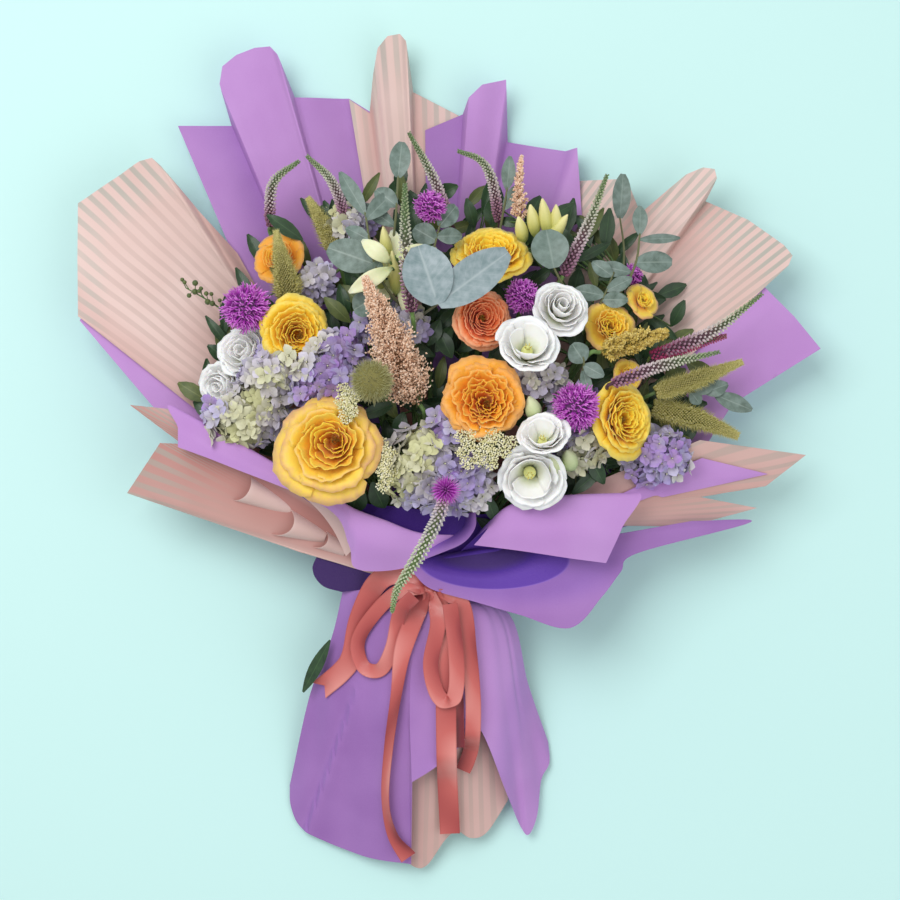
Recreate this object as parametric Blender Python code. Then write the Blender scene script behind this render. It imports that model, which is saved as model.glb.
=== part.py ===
"""A wrapped, hand-tied bouquet of mixed flowers, lying on its back with the blooms facing up (+Z)."""

import math
import random

import bmesh
import bpy
import numpy as np
from mathutils import Vector
from mathutils.bvhtree import BVHTree

# Lengths in this file are millimetres until a mesh is made. Plan positions are grid units of 0.9 mm,
# counted right and down from the upper left corner of a 900-unit square, as seen from above.
METRE = 0.001
UNIT = 0.9
MIDDLE = 450.0
EYE_HEIGHT = 2400.0
TRUE_HEIGHT = 100.0

# The tie, where ribbon holds stems and paper together.
NECK_PX, NECK_PY = 430.0, 590.0
NECK_Z = 60.0
PAPER = 0.8
FLAT_Z = 4.0

rng = random.Random(7)


# Small vector helpers

def vec(*values):
    return np.array(values, float)


def unit(v):
    v = np.asarray(v, float)
    return v / max(np.linalg.norm(v), 1e-9)


def at(px, py, z):
    """The point at height z that is seen from above at this plan position."""
    scale = UNIT * (EYE_HEIGHT - z) / (EYE_HEIGHT - TRUE_HEIGHT)
    return vec((px - MIDDLE) * scale, (MIDDLE - py) * scale, z)


NECK = at(NECK_PX, NECK_PY, NECK_Z)


def frame_of(axis):
    """Two unit vectors across this axis."""
    axis = unit(axis)
    side = np.cross(vec(0, 1, 0.13), axis)
    side = unit(side)
    return side, np.cross(axis, side)


def smooth(x):
    x = min(max(x, 0.0), 1.0)
    return x * x * (3 - 2 * x)


def curve(points, count):
    """Points spread evenly by parameter along a smooth line through these."""
    p = np.array(points, float)
    if len(p) == 2:
        return np.array([p[0] + (p[1] - p[0]) * i / (count - 1) for i in range(count)])
    ends = np.vstack([2 * p[0] - p[1], p, 2 * p[-1] - p[-2]])
    out = []
    for i in range(count):
        s = i * (len(p) - 1) / (count - 1)
        k = min(int(s), len(p) - 2)
        t = s - k
        a, b, c, d = ends[k : k + 4]
        out.append(
            0.5 * (2 * b + (c - a) * t + (2 * a - 5 * b + 4 * c - d) * t * t
                   + (3 * b - a - 3 * c + d) * t ** 3)
        )
    return np.array(out)


# Closed shapes, each a pair (points, faces)

def thick_grid(grid, thick):
    """A closed blade or sheet round this grid of points."""
    grid = np.array(grid, float)
    rows, cols = grid.shape[:2]
    du = np.gradient(grid, axis=0)
    dv = np.gradient(grid, axis=1)
    normal = np.cross(du, dv)
    normal /= np.maximum(np.linalg.norm(normal, axis=2, keepdims=True), 1e-9)
    top = (grid + normal * thick / 2).reshape(-1, 3)
    low = (grid - normal * thick / 2).reshape(-1, 3)
    faces = []
    count = rows * cols
    for i in range(rows - 1):
        for j in range(cols - 1):
            a, b = i * cols + j, i * cols + j + 1
            c, d = b + cols, a + cols
            faces += [(a, d, c), (a, c, b)]
            faces += [(a + count, c + count, d + count), (a + count, b + count, c + count)]
    rim = [j for j in range(cols)] + [i * cols + cols - 1 for i in range(1, rows)]
    rim += [(rows - 1) * cols + j for j in range(cols - 2, -1, -1)]
    rim += [i * cols for i in range(rows - 2, 0, -1)]
    for a, b in zip(rim, rim[1:] + rim[:1]):
        faces += [(a, b, b + count), (a, b + count, a + count)]
    return np.vstack([top, low]), faces


def tube(points, radii, sides=5, spin=0.0, lobes=None):
    """A closed rod along these points. lobes swells every other corner, turned by half a step each ring."""
    points = np.array(points, float)
    ahead = np.gradient(points, axis=0)
    side = None
    rings = []
    for i, (p, r) in enumerate(zip(points, radii)):
        axis = unit(ahead[i])
        if side is None:
            side = frame_of(axis)[0]
        side = unit(side - axis * side.dot(axis))
        other = np.cross(axis, side)
        for j in range(sides):
            a = 2 * math.pi * (j + spin + (0.5 if lobes and i % 2 else 0)) / sides
            swell = 1.0 + (lobes if lobes and j % 2 else 0)
            rings.append(p + r * swell * (math.cos(a) * side + math.sin(a) * other))
    count = len(points)
    faces = []
    for i in range(count - 1):
        for j in range(sides):
            a, b = i * sides + j, i * sides + (j + 1) % sides
            faces += [(a, b, b + sides), (a, b + sides, a + sides)]
    first, last = len(rings), len(rings) + 1
    rings += [points[0], points[-1]]
    for j in range(sides):
        k = (j + 1) % sides
        faces += [(first, k, j), (last, (count - 1) * sides + j, (count - 1) * sides + k)]
    return np.array(rings), faces


def ball(centre, radius, axis=(0, 0, 1), stretch=1.0, rings=4, sides=6):
    """A low ball, longer along its axis by stretch."""
    axis = unit(axis)
    points, radii = [], []
    for i in range(1, rings + 1):
        a = math.pi * i / (rings + 1)
        points.append(np.asarray(centre) - axis * radius * stretch * math.cos(a))
        radii.append(radius * math.sin(a))
    shape, faces = tube(points, radii, sides)
    shape[-2] = np.asarray(centre) - axis * radius * stretch
    shape[-1] = np.asarray(centre) + axis * radius * stretch
    return shape, faces


def spike(root, tip, radius, sides=3):
    """A needle or bract: narrow at the root, widest near it, and pointed."""
    root, tip = np.asarray(root, float), np.asarray(tip, float)
    axis = unit(tip - root)
    side, other = frame_of(axis)
    points = [root]
    for j in range(sides):
        a = 2 * math.pi * j / sides
        points.append(root + (tip - root) * 0.25 + radius * (math.cos(a) * side + math.sin(a) * other))
    points.append(tip)
    faces = []
    for j in range(sides):
        a, b = 1 + j, 1 + (j + 1) % sides
        faces += [(0, b, a), (a, b, sides + 1)]
    return np.array(points), faces


def leaf(root, tip, width, lift=0.0, normal=(0, 0, 1), rows=3, thick=0.9, blunt=0.5):
    """A leaf from root to tip, lens-shaped in outline, folded a little along its midrib."""
    root, tip = np.asarray(root, float), np.asarray(tip, float)
    axis = unit(tip - root)
    side = unit(np.cross(np.asarray(normal, float), axis))
    up = np.cross(axis, side)
    grid = []
    for i in range(rows + 1):
        t = i / rows
        half = width / 2 * max(math.sin(math.pi * min(t * 0.86 + 0.07, 1.0)) ** blunt, 0.12)
        mid = root + (tip - root) * t + up * lift * math.sin(math.pi * t)
        grid.append([mid + side * half * s + up * abs(s) * half * 0.22 for s in (-1, 0, 1)])
    return thick_grid(grid, thick)


def floret(hub, centre, radius, spin, stalk=1.8):
    """One four-petalled floret on a thin stalk that runs down into the hub."""
    hub, centre = np.asarray(hub, float), np.asarray(centre, float)
    axis = unit(centre - hub)
    side, other = frame_of(axis)
    points = []
    for j in range(8):
        a = spin + math.pi * j / 4
        reach = radius * (1.0 if j % 2 == 0 else 0.62)
        points.append(centre + reach * (math.cos(a) * side + math.sin(a) * other)
                      + axis * (0.16 * radius if j % 2 == 0 else 0.0))
    for j in range(3):
        a = spin + math.pi / 8 + 2 * math.pi * j / 3
        points.append(centre - axis * 0.5 * radius + stalk * (math.cos(a) * side + math.sin(a) * other))
    points.append(hub)
    faces = [(j, (j + 1) % 8, (j + 7) % 8) for j in (0, 2, 4, 6)] + [(1, 3, 5), (1, 5, 7)]
    for j, k in enumerate((8, 8, 9, 9, 9, 10, 10, 8)):
        faces.append((j, k, (j + 1) % 8))
    faces += [(2, 8, 9), (5, 9, 10), (7, 10, 8)]
    faces += [(11, 9, 8), (11, 10, 9), (11, 8, 10)]
    return np.array(points), faces


# Nodes

COLOURS = {
    "lilac": (0.62, 0.36, 0.78),
    "lilac_deep": (0.36, 0.20, 0.62),
    "stripe": (0.83, 0.60, 0.55),
    "ribbon": (0.72, 0.14, 0.13),
    "green": (0.16, 0.28, 0.08),
    "yellow": (0.95, 0.55, 0.06),
    "peach": (0.95, 0.42, 0.12),
    "coral": (0.93, 0.25, 0.10),
    "white": (0.90, 0.88, 0.84),
    "cream": (0.85, 0.85, 0.55),
    "violet": (0.45, 0.08, 0.60),
    "pink": (0.75, 0.20, 0.55),
    "hydrangea": (0.55, 0.48, 0.68),
    "eucalyptus": (0.22, 0.33, 0.30),
    "olive": (0.35, 0.38, 0.12),
    "astilbe": (0.62, 0.38, 0.22),
    "lace": (0.75, 0.75, 0.50),
    "spike": (0.40, 0.42, 0.28),
}
placed = {}


def material(name):
    found = bpy.data.materials.get(name)
    if found:
        return found
    made = bpy.data.materials.new(name)
    made.use_nodes = True
    shader = made.node_tree.nodes["Principled BSDF"]
    shader.inputs["Base Color"].default_value = (*COLOURS[name.split(".")[0]], 1)
    shader.inputs["Roughness"].default_value = 0.35 if name.startswith("ribbon") else 0.6
    return made


def mesh_object(name, shape):
    points, faces = shape
    mesh = bpy.data.meshes.new(name)
    mesh.from_pydata([tuple(p * METRE) for p in points], [], [tuple(f) for f in faces])
    mesh.update()
    return bpy.data.objects.new(name, mesh)


def outward(shape):
    """The shape with its faces turned out."""
    points, faces = np.asarray(shape[0], float), shape[1]
    f = np.array(faces)
    a, b, c = points[f[:, 0]], points[f[:, 1]], points[f[:, 2]]
    if (a * np.cross(b, c)).sum() < 0:
        faces = [tuple(reversed(face)) for face in faces]
    return points, faces


def bvh_of(shape):
    points, faces = shape
    return BVHTree.FromPolygons([Vector(p) for p in points], [tuple(f) for f in faces])


def free_of_others(shape, grow=1.0, ignore=()):
    """Whether this shape, pushed out a little from its middle, clears every node that is already placed."""
    points, faces = shape
    middle = points.mean(axis=0)
    out = points - middle
    longer = out * (1 + grow / np.maximum(np.linalg.norm(out, axis=1, keepdims=True), 1.0))
    tree = bvh_of((middle + longer, faces))
    for name, (low, high, other) in placed.items():
        if name in ignore:
            continue
        if (points.max(axis=0) + grow < low).any() or (points.min(axis=0) - grow > high).any():
            continue
        if tree.overlap(other):
            return False
    return True


def remember(obj):
    points = np.array([v.co for v in obj.data.vertices]) / METRE
    faces = [tuple(p.vertices) for p in obj.data.polygons]
    placed[obj.name] = (points.min(axis=0), points.max(axis=0), bvh_of((points, faces)))


def merge_flat_faces(mesh):
    """Joins the slivers that a union leaves in one plane, and cuts every face into triangles, while it stays closed."""
    for weld, angle in ((0.002, 2.0), (0.002, 0.3), (0.0005, 0.1), (0.0, 0.0)):
        work = bmesh.new()
        work.from_mesh(mesh)
        if weld:
            bmesh.ops.remove_doubles(work, verts=work.verts, dist=weld * METRE)
            bmesh.ops.dissolve_limit(work, angle_limit=math.radians(angle), verts=work.verts, edges=work.edges)
        bmesh.ops.triangulate(work, faces=work.faces)
        spots = {tuple(round(x / METRE, 3) for x in v.co) for v in work.verts}
        closed = all(len(edge.link_faces) == 2 for edge in work.edges)
        if (closed and len(spots) == len(work.verts)) or not weld:
            work.to_mesh(mesh)
            work.free()
            return
        work.free()


def node(name, shapes, colour):
    """One object made of these shapes by a single union."""
    shapes = [outward(s) for s in shapes]
    base = mesh_object(name, shapes[0])
    bpy.context.scene.collection.objects.link(base)
    if len(shapes) > 1:
        others = bpy.data.collections.new(name + "_parts")
        bpy.context.scene.collection.children.link(others)
        for i, shape in enumerate(shapes[1:]):
            others.objects.link(mesh_object(f"{name}_{i}", shape))
        join = base.modifiers.new("join", "BOOLEAN")
        join.operation = "UNION"
        join.operand_type = "COLLECTION"
        join.collection = others
        join.solver = "MANIFOLD"
        graph = bpy.context.evaluated_depsgraph_get()
        joined = bpy.data.meshes.new_from_object(base.evaluated_get(graph))
        merge_flat_faces(joined)
        base.modifiers.clear()
        base.data = joined
        for obj in list(others.objects):
            bpy.data.objects.remove(obj)
        bpy.data.collections.remove(others)
    base.data.materials.clear()
    base.data.materials.append(material(f"{colour}.{name}"))
    remember(base)
    return base


# Blooms

def rosette(centre, axis, rings, petals, lean=1.5, scallop=0.08):
    """A bloom as one closed surface of petal tiers with deep valleys between them.

    rings lists (radius, height, turn, lobed) from the foot, over each tier's outer and inner rim, to the heart.
    Each tier of petals overlaps like shingles: a petal starts inside its neighbour and ends outside the next one.
    """
    side, other = frame_of(axis)
    points = [centre + axis * rings[0][1]]
    vary = {}
    for out, high, turn, lobed in rings:
        for i in range(petals):
            long, tall = vary.setdefault((turn, i), (rng.uniform(0.94, 1.05), rng.uniform(-0.06, 0.05)))
            for u in (-0.84, 0.0, 0.84):
                a = turn + 2 * math.pi * (i + 0.5 + u / 2) / petals
                reach = out
                up = high
                if lobed:
                    reach = out * long * (1 - scallop * u * u) + lean * u
                    up = high + out * (tall - 0.1 * abs(u) ** 3)
                points.append(centre + reach * (math.cos(a) * side + math.sin(a) * other) + axis * up)
    points.append(centre + axis * (rings[-1][1] - 1.0))
    count = petals * 3
    last = len(points) - 1
    faces = []
    for j in range(count):
        k = (j + 1) % count
        faces.append((0, 1 + k, 1 + j))
        for n in range(len(rings) - 1):
            a, b = 1 + n * count + j, 1 + n * count + k
            faces += [(a, b, b + count), (a, b + count, a + count)]
        faces.append((last, last - count + j, last - count + k))
    return np.array(points), faces


def rose_shapes(px, py, z, radius, axis, tiers, depth=None):
    """A garden rose. tiers gives its petals per tier and the radius of each tier as a share."""
    petals, shares = tiers
    centre, axis = at(px, py, z), unit(axis)
    depth = depth or radius * 0.8
    rings = [(2.6, -depth - 4, 0, 0), (radius * 0.32, -depth * 0.8, 0, 0)]
    for k, share in enumerate(shares):
        turn = 0.35 + 0.5 * k
        reach = radius * share
        high = radius * 0.06 * k * (1.5 - 0.5 * k)
        rings += [(reach, high - 0.7, turn, 1), (reach - 1.1, high, turn, 1)]
        if k < len(shares) - 1:
            rings.append(((reach + radius * shares[k + 1]) / 2 * 0.83, -depth * 0.36, turn + 0.25, 0))
    rings.append((radius * shares[-1] * 0.45, -depth * 0.3, turn, 0))
    return [rosette(centre, axis, rings, petals)], centre - axis * (depth + 4), axis


def rose(name, colour, px, py, z, radius, axis, rings, depth=None):
    shapes, foot, axis = rose_shapes(px, py, z, radius, axis, rings, depth)
    node(name, shapes, colour)
    return foot, axis


HUB = 3.4


def branches(feet_list, hub, radius=1.9):
    """Stalks from these feet into one small knob, whose underside is at the hub point."""
    middle = at(*hub) + vec(0, 0, HUB)
    shapes = [ball(middle, HUB, (0, 0, 1), 1.0, 2, 5)]
    for foot, axis in feet_list:
        shapes.append(tube([foot + axis * 4, foot - axis * 4, middle], [radius] * 3, 4))
    return shapes


def rose_spray(name, colour, blooms, rings, hub):
    """Small roses on one branching stem that starts at the hub."""
    shapes, ends = [], []
    for bloom in blooms:
        more, foot, axis = rose_shapes(*bloom, rings)
        shapes += more
        ends.append((foot, axis))
    node(name, shapes + branches(ends, hub), colour)
    return at(*hub), vec(0, 0, 1)


def lisianthus_shapes(px, py, z, radius, axis, turn0=0.0):
    """A lisianthus bloom: broad outer petals and a shorter inner tier round a deep throat."""
    centre, axis = at(px, py, z), unit(axis)
    depth = radius * 0.95
    rings = [(2.2, -depth - 3, turn0, 0), (radius * 0.24, -depth * 0.72, turn0, 0),
             (radius, -0.7, turn0, 1), (radius - 1.1, 0.0, turn0, 1),
             (radius * 0.52, -depth * 0.3, turn0 + 0.3, 0),
             (radius * 0.66, radius * 0.05, turn0 + 0.6, 1), (radius * 0.66 - 1.1, radius * 0.05 + 0.5, turn0 + 0.6, 1),
             (radius * 0.2, -depth * 0.42, turn0 + 0.6, 0)]
    return [rosette(centre, axis, rings, 5, 1.2)], centre - axis * (depth + 3), axis


def lisianthus(name, px, py, z, radius, axis, turn0=0.0):
    shapes, foot, axis = lisianthus_shapes(px, py, z, radius, axis, turn0)
    node(name, shapes, "white")
    return foot, axis


def lisianthus_pair(name, blooms, hub):
    shapes, ends = [], []
    for i, bloom in enumerate(blooms):
        more, foot, axis = lisianthus_shapes(*bloom, 0.5 * i)
        shapes += more
        ends.append((foot, axis))
    node(name, shapes + branches(ends, hub), "white")
    return at(*hub), vec(0, 0, 1)


def thistle(name, colour, px, py, z, radius, axis, stretch=1.0, needles=16):
    """A round head of many narrow florets."""
    centre, axis = at(px, py, z), unit(axis)
    side, other = frame_of(axis)
    shapes = [ball(centre, radius * 0.68, axis, stretch, 3, 6)]
    for i in range(needles):
        high = 1 - 1.35 * (i + 0.5) / needles
        a = i * 2.399963
        flat = math.sqrt(max(1 - high * high, 0))
        out = flat * (math.cos(a) * side + math.sin(a) * other) + high * axis * stretch
        shapes.append(spike(centre + out * radius * 0.35, centre + out * radius, radius * 0.24))
    foot = centre - axis * radius * (0.68 * stretch + 0.25)
    shapes.append(tube([foot, centre - axis * radius * 0.3], [1.8, 3.0], 5))
    node(name, shapes, colour)
    return foot, axis


def plume_shapes(points, widths, steps, sides=6, lobes=0.35):
    """A knobbly tapering spike along these points; widths are its radii at root, middle and tip."""
    line = curve(points, steps)
    radii = []
    for i in range(steps):
        t = i / (steps - 1)
        r = np.interp(t, [0, 0.12, 0.5, 1], [widths[0] * 0.6, widths[0], widths[1], widths[2]])
        radii.append(r * (0.8 if i % 2 else 1.0))
    return tube(line, radii, sides, 0.0, lobes), line[0], unit(line[1] - line[0])


# Paper

def back_height(x, y):
    """Height of the lowest back sheet: a scoop that leaves the tie and lies flat along its middle."""
    away = abs(y - NECK[1])
    half = 30.0 + 0.60 * away
    deep = 21.0 + (NECK_Z - 0.4 - 21.0) * smooth(away / 150.0)
    return max(NECK_Z - deep * math.exp(-1.1 * ((x - NECK[0]) / half) ** 2), FLAT_Z)


def layer_step(distance):
    """How far apart two neighbouring back sheets are at this distance from the tie."""
    return 1.35 + 2.4 * smooth(distance / 170.0)


def front_height(x, y):
    """Height of the innermost front sheet: it slopes up from the tie, and falls off to both sides."""
    return 77.8 + 0.27 * (y - NECK[1]) - 0.0004 * (x - NECK[0]) ** 2


FRONT_STEP = 1.7


def linear(points, count):
    points = np.array(points)
    s = np.linspace(0, len(points) - 1, count)
    k = np.minimum(s.astype(int), len(points) - 2)
    t = (s - k)[:, None]
    return points[k] * (1 - t) + points[k + 1] * t


BACK_ROWS = (0.0, 26.0, 62.0, 115.0)


def back_sheet(name, colour, level, ends, rolls=None, outer_rows=3, start=3.0):
    """A sheet of the back fan. ends are free-edge plan points; rolls lift the sheet near some of them."""
    grid = []
    for i, (px, py) in enumerate(ends):
        end = at(px, py, 30)
        ahead = unit((end - NECK)[:2])
        first = NECK[:2] + vec(12 * ahead[0], start)
        whole = np.linalg.norm(end[:2] - first)
        last = min(BACK_ROWS[-1], whole * 0.5)
        reach = [d * last / BACK_ROWS[-1] for d in BACK_ROWS]
        reach += [last + (whole - last) * (k + 1) / outer_rows for k in range(outer_rows)]
        lift = (rolls or {}).get(i, 0.0)
        line = []
        for d in reach:
            x, y = first + (end[:2] - first) * d / whole
            near_edge = max(d / whole - 0.55, 0) / 0.45
            z = back_height(x, y) + PAPER / 2 + level * layer_step(d) + lift * near_edge ** 1.6
            line.append(vec(x, y, z))
        grid.append(line)
    return node(name, [thick_grid(grid, PAPER)], colour)


def rib_sheet(name, colour, ribs, cells, thick=PAPER):
    """A sheet over ribs. A rib lists (px, py, z); where z is a text, it is that level of the rising front."""
    lines = []
    for rib in ribs:
        levels = [float(z) if isinstance(z, str) else None for _, _, z in rib]
        points = []
        for (px, py, z), level in zip(rib, levels):
            if level is not None:
                rough = at(px, py, 100)
                z = front_height(rough[0], rough[1]) + FRONT_STEP * level
            points.append(at(px, py, z))
        line = curve(points, cells[1] + 1)
        for i, p in enumerate(line):
            along = i * (len(rib) - 1) / cells[1]
            k = min(int(along), len(rib) - 2)
            if levels[k] is None or (levels[k + 1] is None and along > k):
                continue
            after = levels[k] if levels[k + 1] is None else levels[k + 1]
            level = levels[k] + (after - levels[k]) * (along - k)
            p[2] = front_height(p[0], p[1]) + FRONT_STEP * level
        lines.append(line)
    lines = np.array(lines)
    rows = [linear(lines[:, j], (len(ribs) - 1) * cells[0] + 1) for j in range(cells[1] + 1)]
    return node(name, [thick_grid(np.array(rows).transpose(1, 0, 2), thick)], colour)


def top_of(point, names):
    """The height of the highest of these nodes over this plan point."""
    best = None
    for name in names:
        hit = placed[name][2].ray_cast(Vector((point[0], point[1], 600.0)), Vector((0, 0, -1)))[0]
        if hit and (best is None or hit.z > best):
            best = hit.z
    return best


def turning_radius(line, i):
    """How tightly a line turns in plan at its point i. A ribbon that turns more tightly stands on edge there."""
    if i in (0, len(line) - 1):
        return 1000.0
    a, b, c = line[i - 1][:2], line[i][:2], line[i + 1][:2]
    area = abs((b - a)[0] * (c - a)[1] - (b - a)[1] * (c - a)[0]) / 2
    sides = np.linalg.norm(b - a) * np.linalg.norm(c - b) * np.linalg.norm(c - a)
    return sides / max(4 * area, 1e-6)


def ribbon_strip(path, width, layer, names, count):
    """A ribbon lying on what is under it. path lists (px, py), or (px, py, z) where it is free."""
    fixed = [p[2] if len(p) > 2 else None for p in path]
    plan = curve([at(p[0], p[1], p[2] if len(p) > 2 else 60.0) for p in path], count)
    grid = []
    for i, p in enumerate(plan):
        ahead = unit(plan[min(i + 1, count - 1)][:2] - plan[max(i - 1, 0)][:2])
        half = min(width / 2, 0.7 * turning_radius(plan, i)) * (0.4 if i == 0 else 1.0)
        across = vec(-ahead[1], ahead[0], 0) * half
        share = i * (len(path) - 1) / (count - 1)
        known = fixed[min(int(round(share)), len(path) - 1)]
        heights = [top_of(p + across * s, names) for s in (-1, -0.5, 0, 0.5, 1)]
        heights = [h for h in heights if h is not None]
        z = p[2] if known is not None or not heights else max(heights) + 1.1 + 1.4 * layer
        if known is not None and heights:
            z = max(z, max(heights) + 1.1 + 1.4 * layer)
        grid.append([vec(p[0] - across[0], p[1] - across[1], z), vec(p[0] + across[0], p[1] + across[1], z)])
    z = np.array([row[0][2] for row in grid])
    lifted = np.maximum(z, np.maximum(np.roll(z, 1), np.roll(z, -1)) - 2.0)
    lifted[0], lifted[-1] = z[0], z[-1]
    for row, h in zip(grid, lifted):
        for q in row:
            q[2] = h
    return thick_grid(np.array(grid), 0.8)


def ring_band(radius_x, low_z, high_z, near_py, far_py, thick, sides=12):
    """The ribbon that goes round the tie, a rounded oblong ring."""
    y0, y1 = at(0, near_py, NECK_Z)[1], at(0, far_py, NECK_Z)[1]
    mid, half = (low_z + high_z) / 2, (high_z - low_z) / 2
    points, faces = [], []
    for y in (y0, y1):
        for grow in (0.0, thick):
            for j in range(sides):
                a = 2 * math.pi * (j + 0.5) / sides
                c, n = math.cos(a), math.sin(a)
                wide = math.copysign(abs(c) ** 0.55, c) * (radius_x + grow)
                tall = math.copysign(abs(n) ** 0.55, n) * (half + grow)
                points.append(vec(NECK[0] + wide, y, mid + tall))
    for j in range(sides):
        k = (j + 1) % sides
        i0, i1, o0, o1 = j, k, sides + j, sides + k
        m0, m1, q0, q1 = 2 * sides + j, 2 * sides + k, 3 * sides + j, 3 * sides + k
        faces += [(o0, o1, q1), (o0, q1, q0), (i0, m1, i1), (i0, m0, m1)]
        faces += [(i0, i1, o1), (i0, o1, o0), (m0, q1, m1), (m0, q0, q1)]
    return np.array(points), faces


def hydrangea(name, patches, hub, radius, colour="hydrangea"):
    """A head of four-petalled florets on stalks from one hub. patches lists (px, py, z, rx, ry, count)."""
    middle = at(*hub) + vec(0, 0, 4.5)
    shapes = [ball(middle, 4.5, (0, 0, 1), 1.0, 2, 5)]
    for px, py, z, rx, ry, count in patches:
        for i in range(count):
            share = math.sqrt((i + 0.4) / count)
            a = i * 2.399963 + px
            x = px + rx * share * math.cos(a) + rng.uniform(-2, 2)
            y = py + ry * share * math.sin(a) + rng.uniform(-2, 2)
            high = z - 16 * share * share + rng.uniform(-3, 3)
            shape = floret(middle, at(x, y, high), radius * rng.uniform(0.88, 1.1), rng.uniform(0, 1.5))
            if free_of_others(outward(shape), 0.7):
                shapes.append(shape)
    node(name, shapes, colour)


def stem_points(foot, axis, along=0.82, rise=0.3, drop=12.0, gap=0.3):
    """From inside the bundle, out low over the back papers, and up to just under a bloom."""
    end = foot - unit(axis) * gap
    below = end - unit(axis) * drop
    reach = below[:2] - NECK[:2]
    start = NECK + vec(max(min(reach[0] / 16, 10), -10), 8, max(min((end[2] - 105) / 8, 8), -8))
    plan = start[:2] + (below[:2] - start[:2]) * along
    away = np.linalg.norm(plan - NECK[:2])
    floor_z = back_height(*plan) + 3 * layer_step(away) + 5
    elbow = vec(plan[0], plan[1], max(floor_z, NECK_Z + rise * (below[2] - NECK_Z)))
    return [start, elbow, below, end]


# Main

for old in list(bpy.data.objects):
    bpy.data.objects.remove(old)

BIG = (5, (1.0, 0.78, 0.55, 0.32))
SMALL = (4, (1.0, 0.68, 0.38))

feet = {}
feet["rose_front_left"] = rose("rose_front_left", "yellow", 327, 446, 168, 44, (-0.1, 0.1, 1), BIG)
feet["rose_left"] = rose("rose_left", "yellow", 295, 329, 135, 31, (0.2, -0.1, 1), (5, (1.0, 0.7, 0.4)))
feet["rose_centre"] = rose("rose_centre", "peach", 484, 396, 172, 36, (0.05, 0.1, 1), BIG)
feet["rose_coral"] = rose("rose_coral", "coral", 485, 319, 150, 27, (0, 0.15, 1), (5, (1.0, 0.7, 0.4)))
feet["rose_top"] = rose("rose_top", "yellow", 492, 245, 122, 33, (0.05, 0.72, 0.72), SMALL)
feet["rose_right"] = rose("rose_right", "yellow", 630, 421, 138, 32, (0.65, 0, 0.75), SMALL)
feet["rose_spray"] = rose_spray("rose_spray", "yellow",
                                [(612, 325, 118, 22, (0.3, 0.3, 1)), (630, 374, 118, 13, (0.4, 0.2, 1)),
                                 (645, 299, 102, 15, (0.5, 0.4, 0.8))], (4, (1.0, 0.55)), (606, 352, 72))
feet["rose_far_left"] = rose("rose_far_left", "peach", 277, 255, 86, 22, (-0.3, 0.4, 0.9), SMALL)

feet["lisianthus_upper"] = lisianthus("lisianthus_upper", 562, 307, 144, 26, (0.2, 0.3, 1))
feet["lisianthus_centre"] = lisianthus("lisianthus_centre", 528, 341, 170, 27, (0.1, 0.05, 1), 0.4)
feet["lisianthus_mid"] = lisianthus("lisianthus_mid", 543, 431, 174, 24, (-0.1, 0.4, 1), 0.9)
feet["lisianthus_low"] = lisianthus("lisianthus_low", 532, 480, 158, 31, (0, -0.1, 1), 0.2)
feet["lisianthus_left"] = lisianthus_pair(
    "lisianthus_left", [(240, 350, 112, 23, (-0.4, 0.3, 0.9)), (217, 387, 96, 22, (-0.6, -0.1, 0.8))],
    (250, 376, 68))

feet["thistle_left"] = thistle("thistle_left", "violet", 246, 308, 128, 23, (-0.2, 0.2, 1), 0.8, 11)
feet["thistle_top"] = thistle("thistle_top", "violet", 430, 207, 130, 15, (0, 0.5, 1), 1.1, 8)
feet["thistle_mid"] = thistle("thistle_mid", "violet", 522, 296, 134, 16, (0, 0.3, 1), 1.2, 8)
feet["thistle_right"] = thistle("thistle_right", "violet", 576, 407, 156, 22, (0.1, 0, 1), 0.8, 11)
feet["thistle_small"] = thistle("thistle_small", "violet", 632, 275, 88, 10, (0.3, 0.4, 1), 1.0, 7)
feet["seed_ball"] = thistle("seed_ball", "olive", 372, 381, 186, 20, (0, 0, 1), 0.95, 10)



def spray(name, colour, plumes, hub, steps=9, sides=6, lobes=0.35, extra=()):
    """Spikes that share one stem. plumes lists (points, widths)."""
    shapes, ends = [], []
    for points, widths in plumes:
        shape, foot, axis = plume_shapes([at(*p) for p in points], widths, steps, sides, lobes)
        shapes.append(shape)
        ends.append((foot, axis))
    if hub is not None:
        shapes += branches(ends, hub, 1.5)
    node(name, shapes + list(extra), colour)
    return (at(*hub), vec(0, 0, 1)) if hub is not None else ends[0]


feet["veronica_far_left"] = spray("veronica_far_left", "spike",
    [([(271, 226, 62), (270, 205, 78), (275, 180, 92), (299, 161, 98)], (6, 6, 2))], None)
feet["veronica_left"] = spray("veronica_left", "spike",
    [([(347, 222, 96), (332, 182, 100), (307, 156, 100)], (6, 5.5, 2))], None, 8)
feet["veronica_centre"] = spray("veronica_centre", "spike",
    [([(412, 312, 150), (407, 270, 158), (405, 225, 160), (405, 184, 158)], (8, 7, 2.4))], None, 10)
feet["veronica_top"] = spray("veronica_top", "spike",
    [([(452, 224, 92), (432, 175, 100), (409, 133, 102)], (6, 5.5, 2)),
     ([(499, 222, 82), (492, 180, 96), (480, 160, 102), (458, 151, 104)], (6, 5.5, 2))], (474, 262, 62), 7)
feet["veronica_right"] = spray("veronica_right", "spike",
    [([(563, 276, 112), (588, 225, 112), (607, 175, 106)], (7, 6, 2))], None)
feet["veronica_far_right"] = spray("veronica_far_right", "spike",
    [([(664, 352, 122), (715, 330, 122), (762, 294, 116)], (7.5, 6, 2)),
     ([(612, 384, 150), (660, 366, 150), (719, 352, 140)], (7, 6, 2))], (634, 398, 76), 8)
front_axis = unit(vec(0.05, -0.25, 1))
front_head = at(446, 490, 172)
side, other = frame_of(front_axis)
bracts = [ball(front_head, 7, front_axis, 0.9, 2, 6)]
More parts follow.
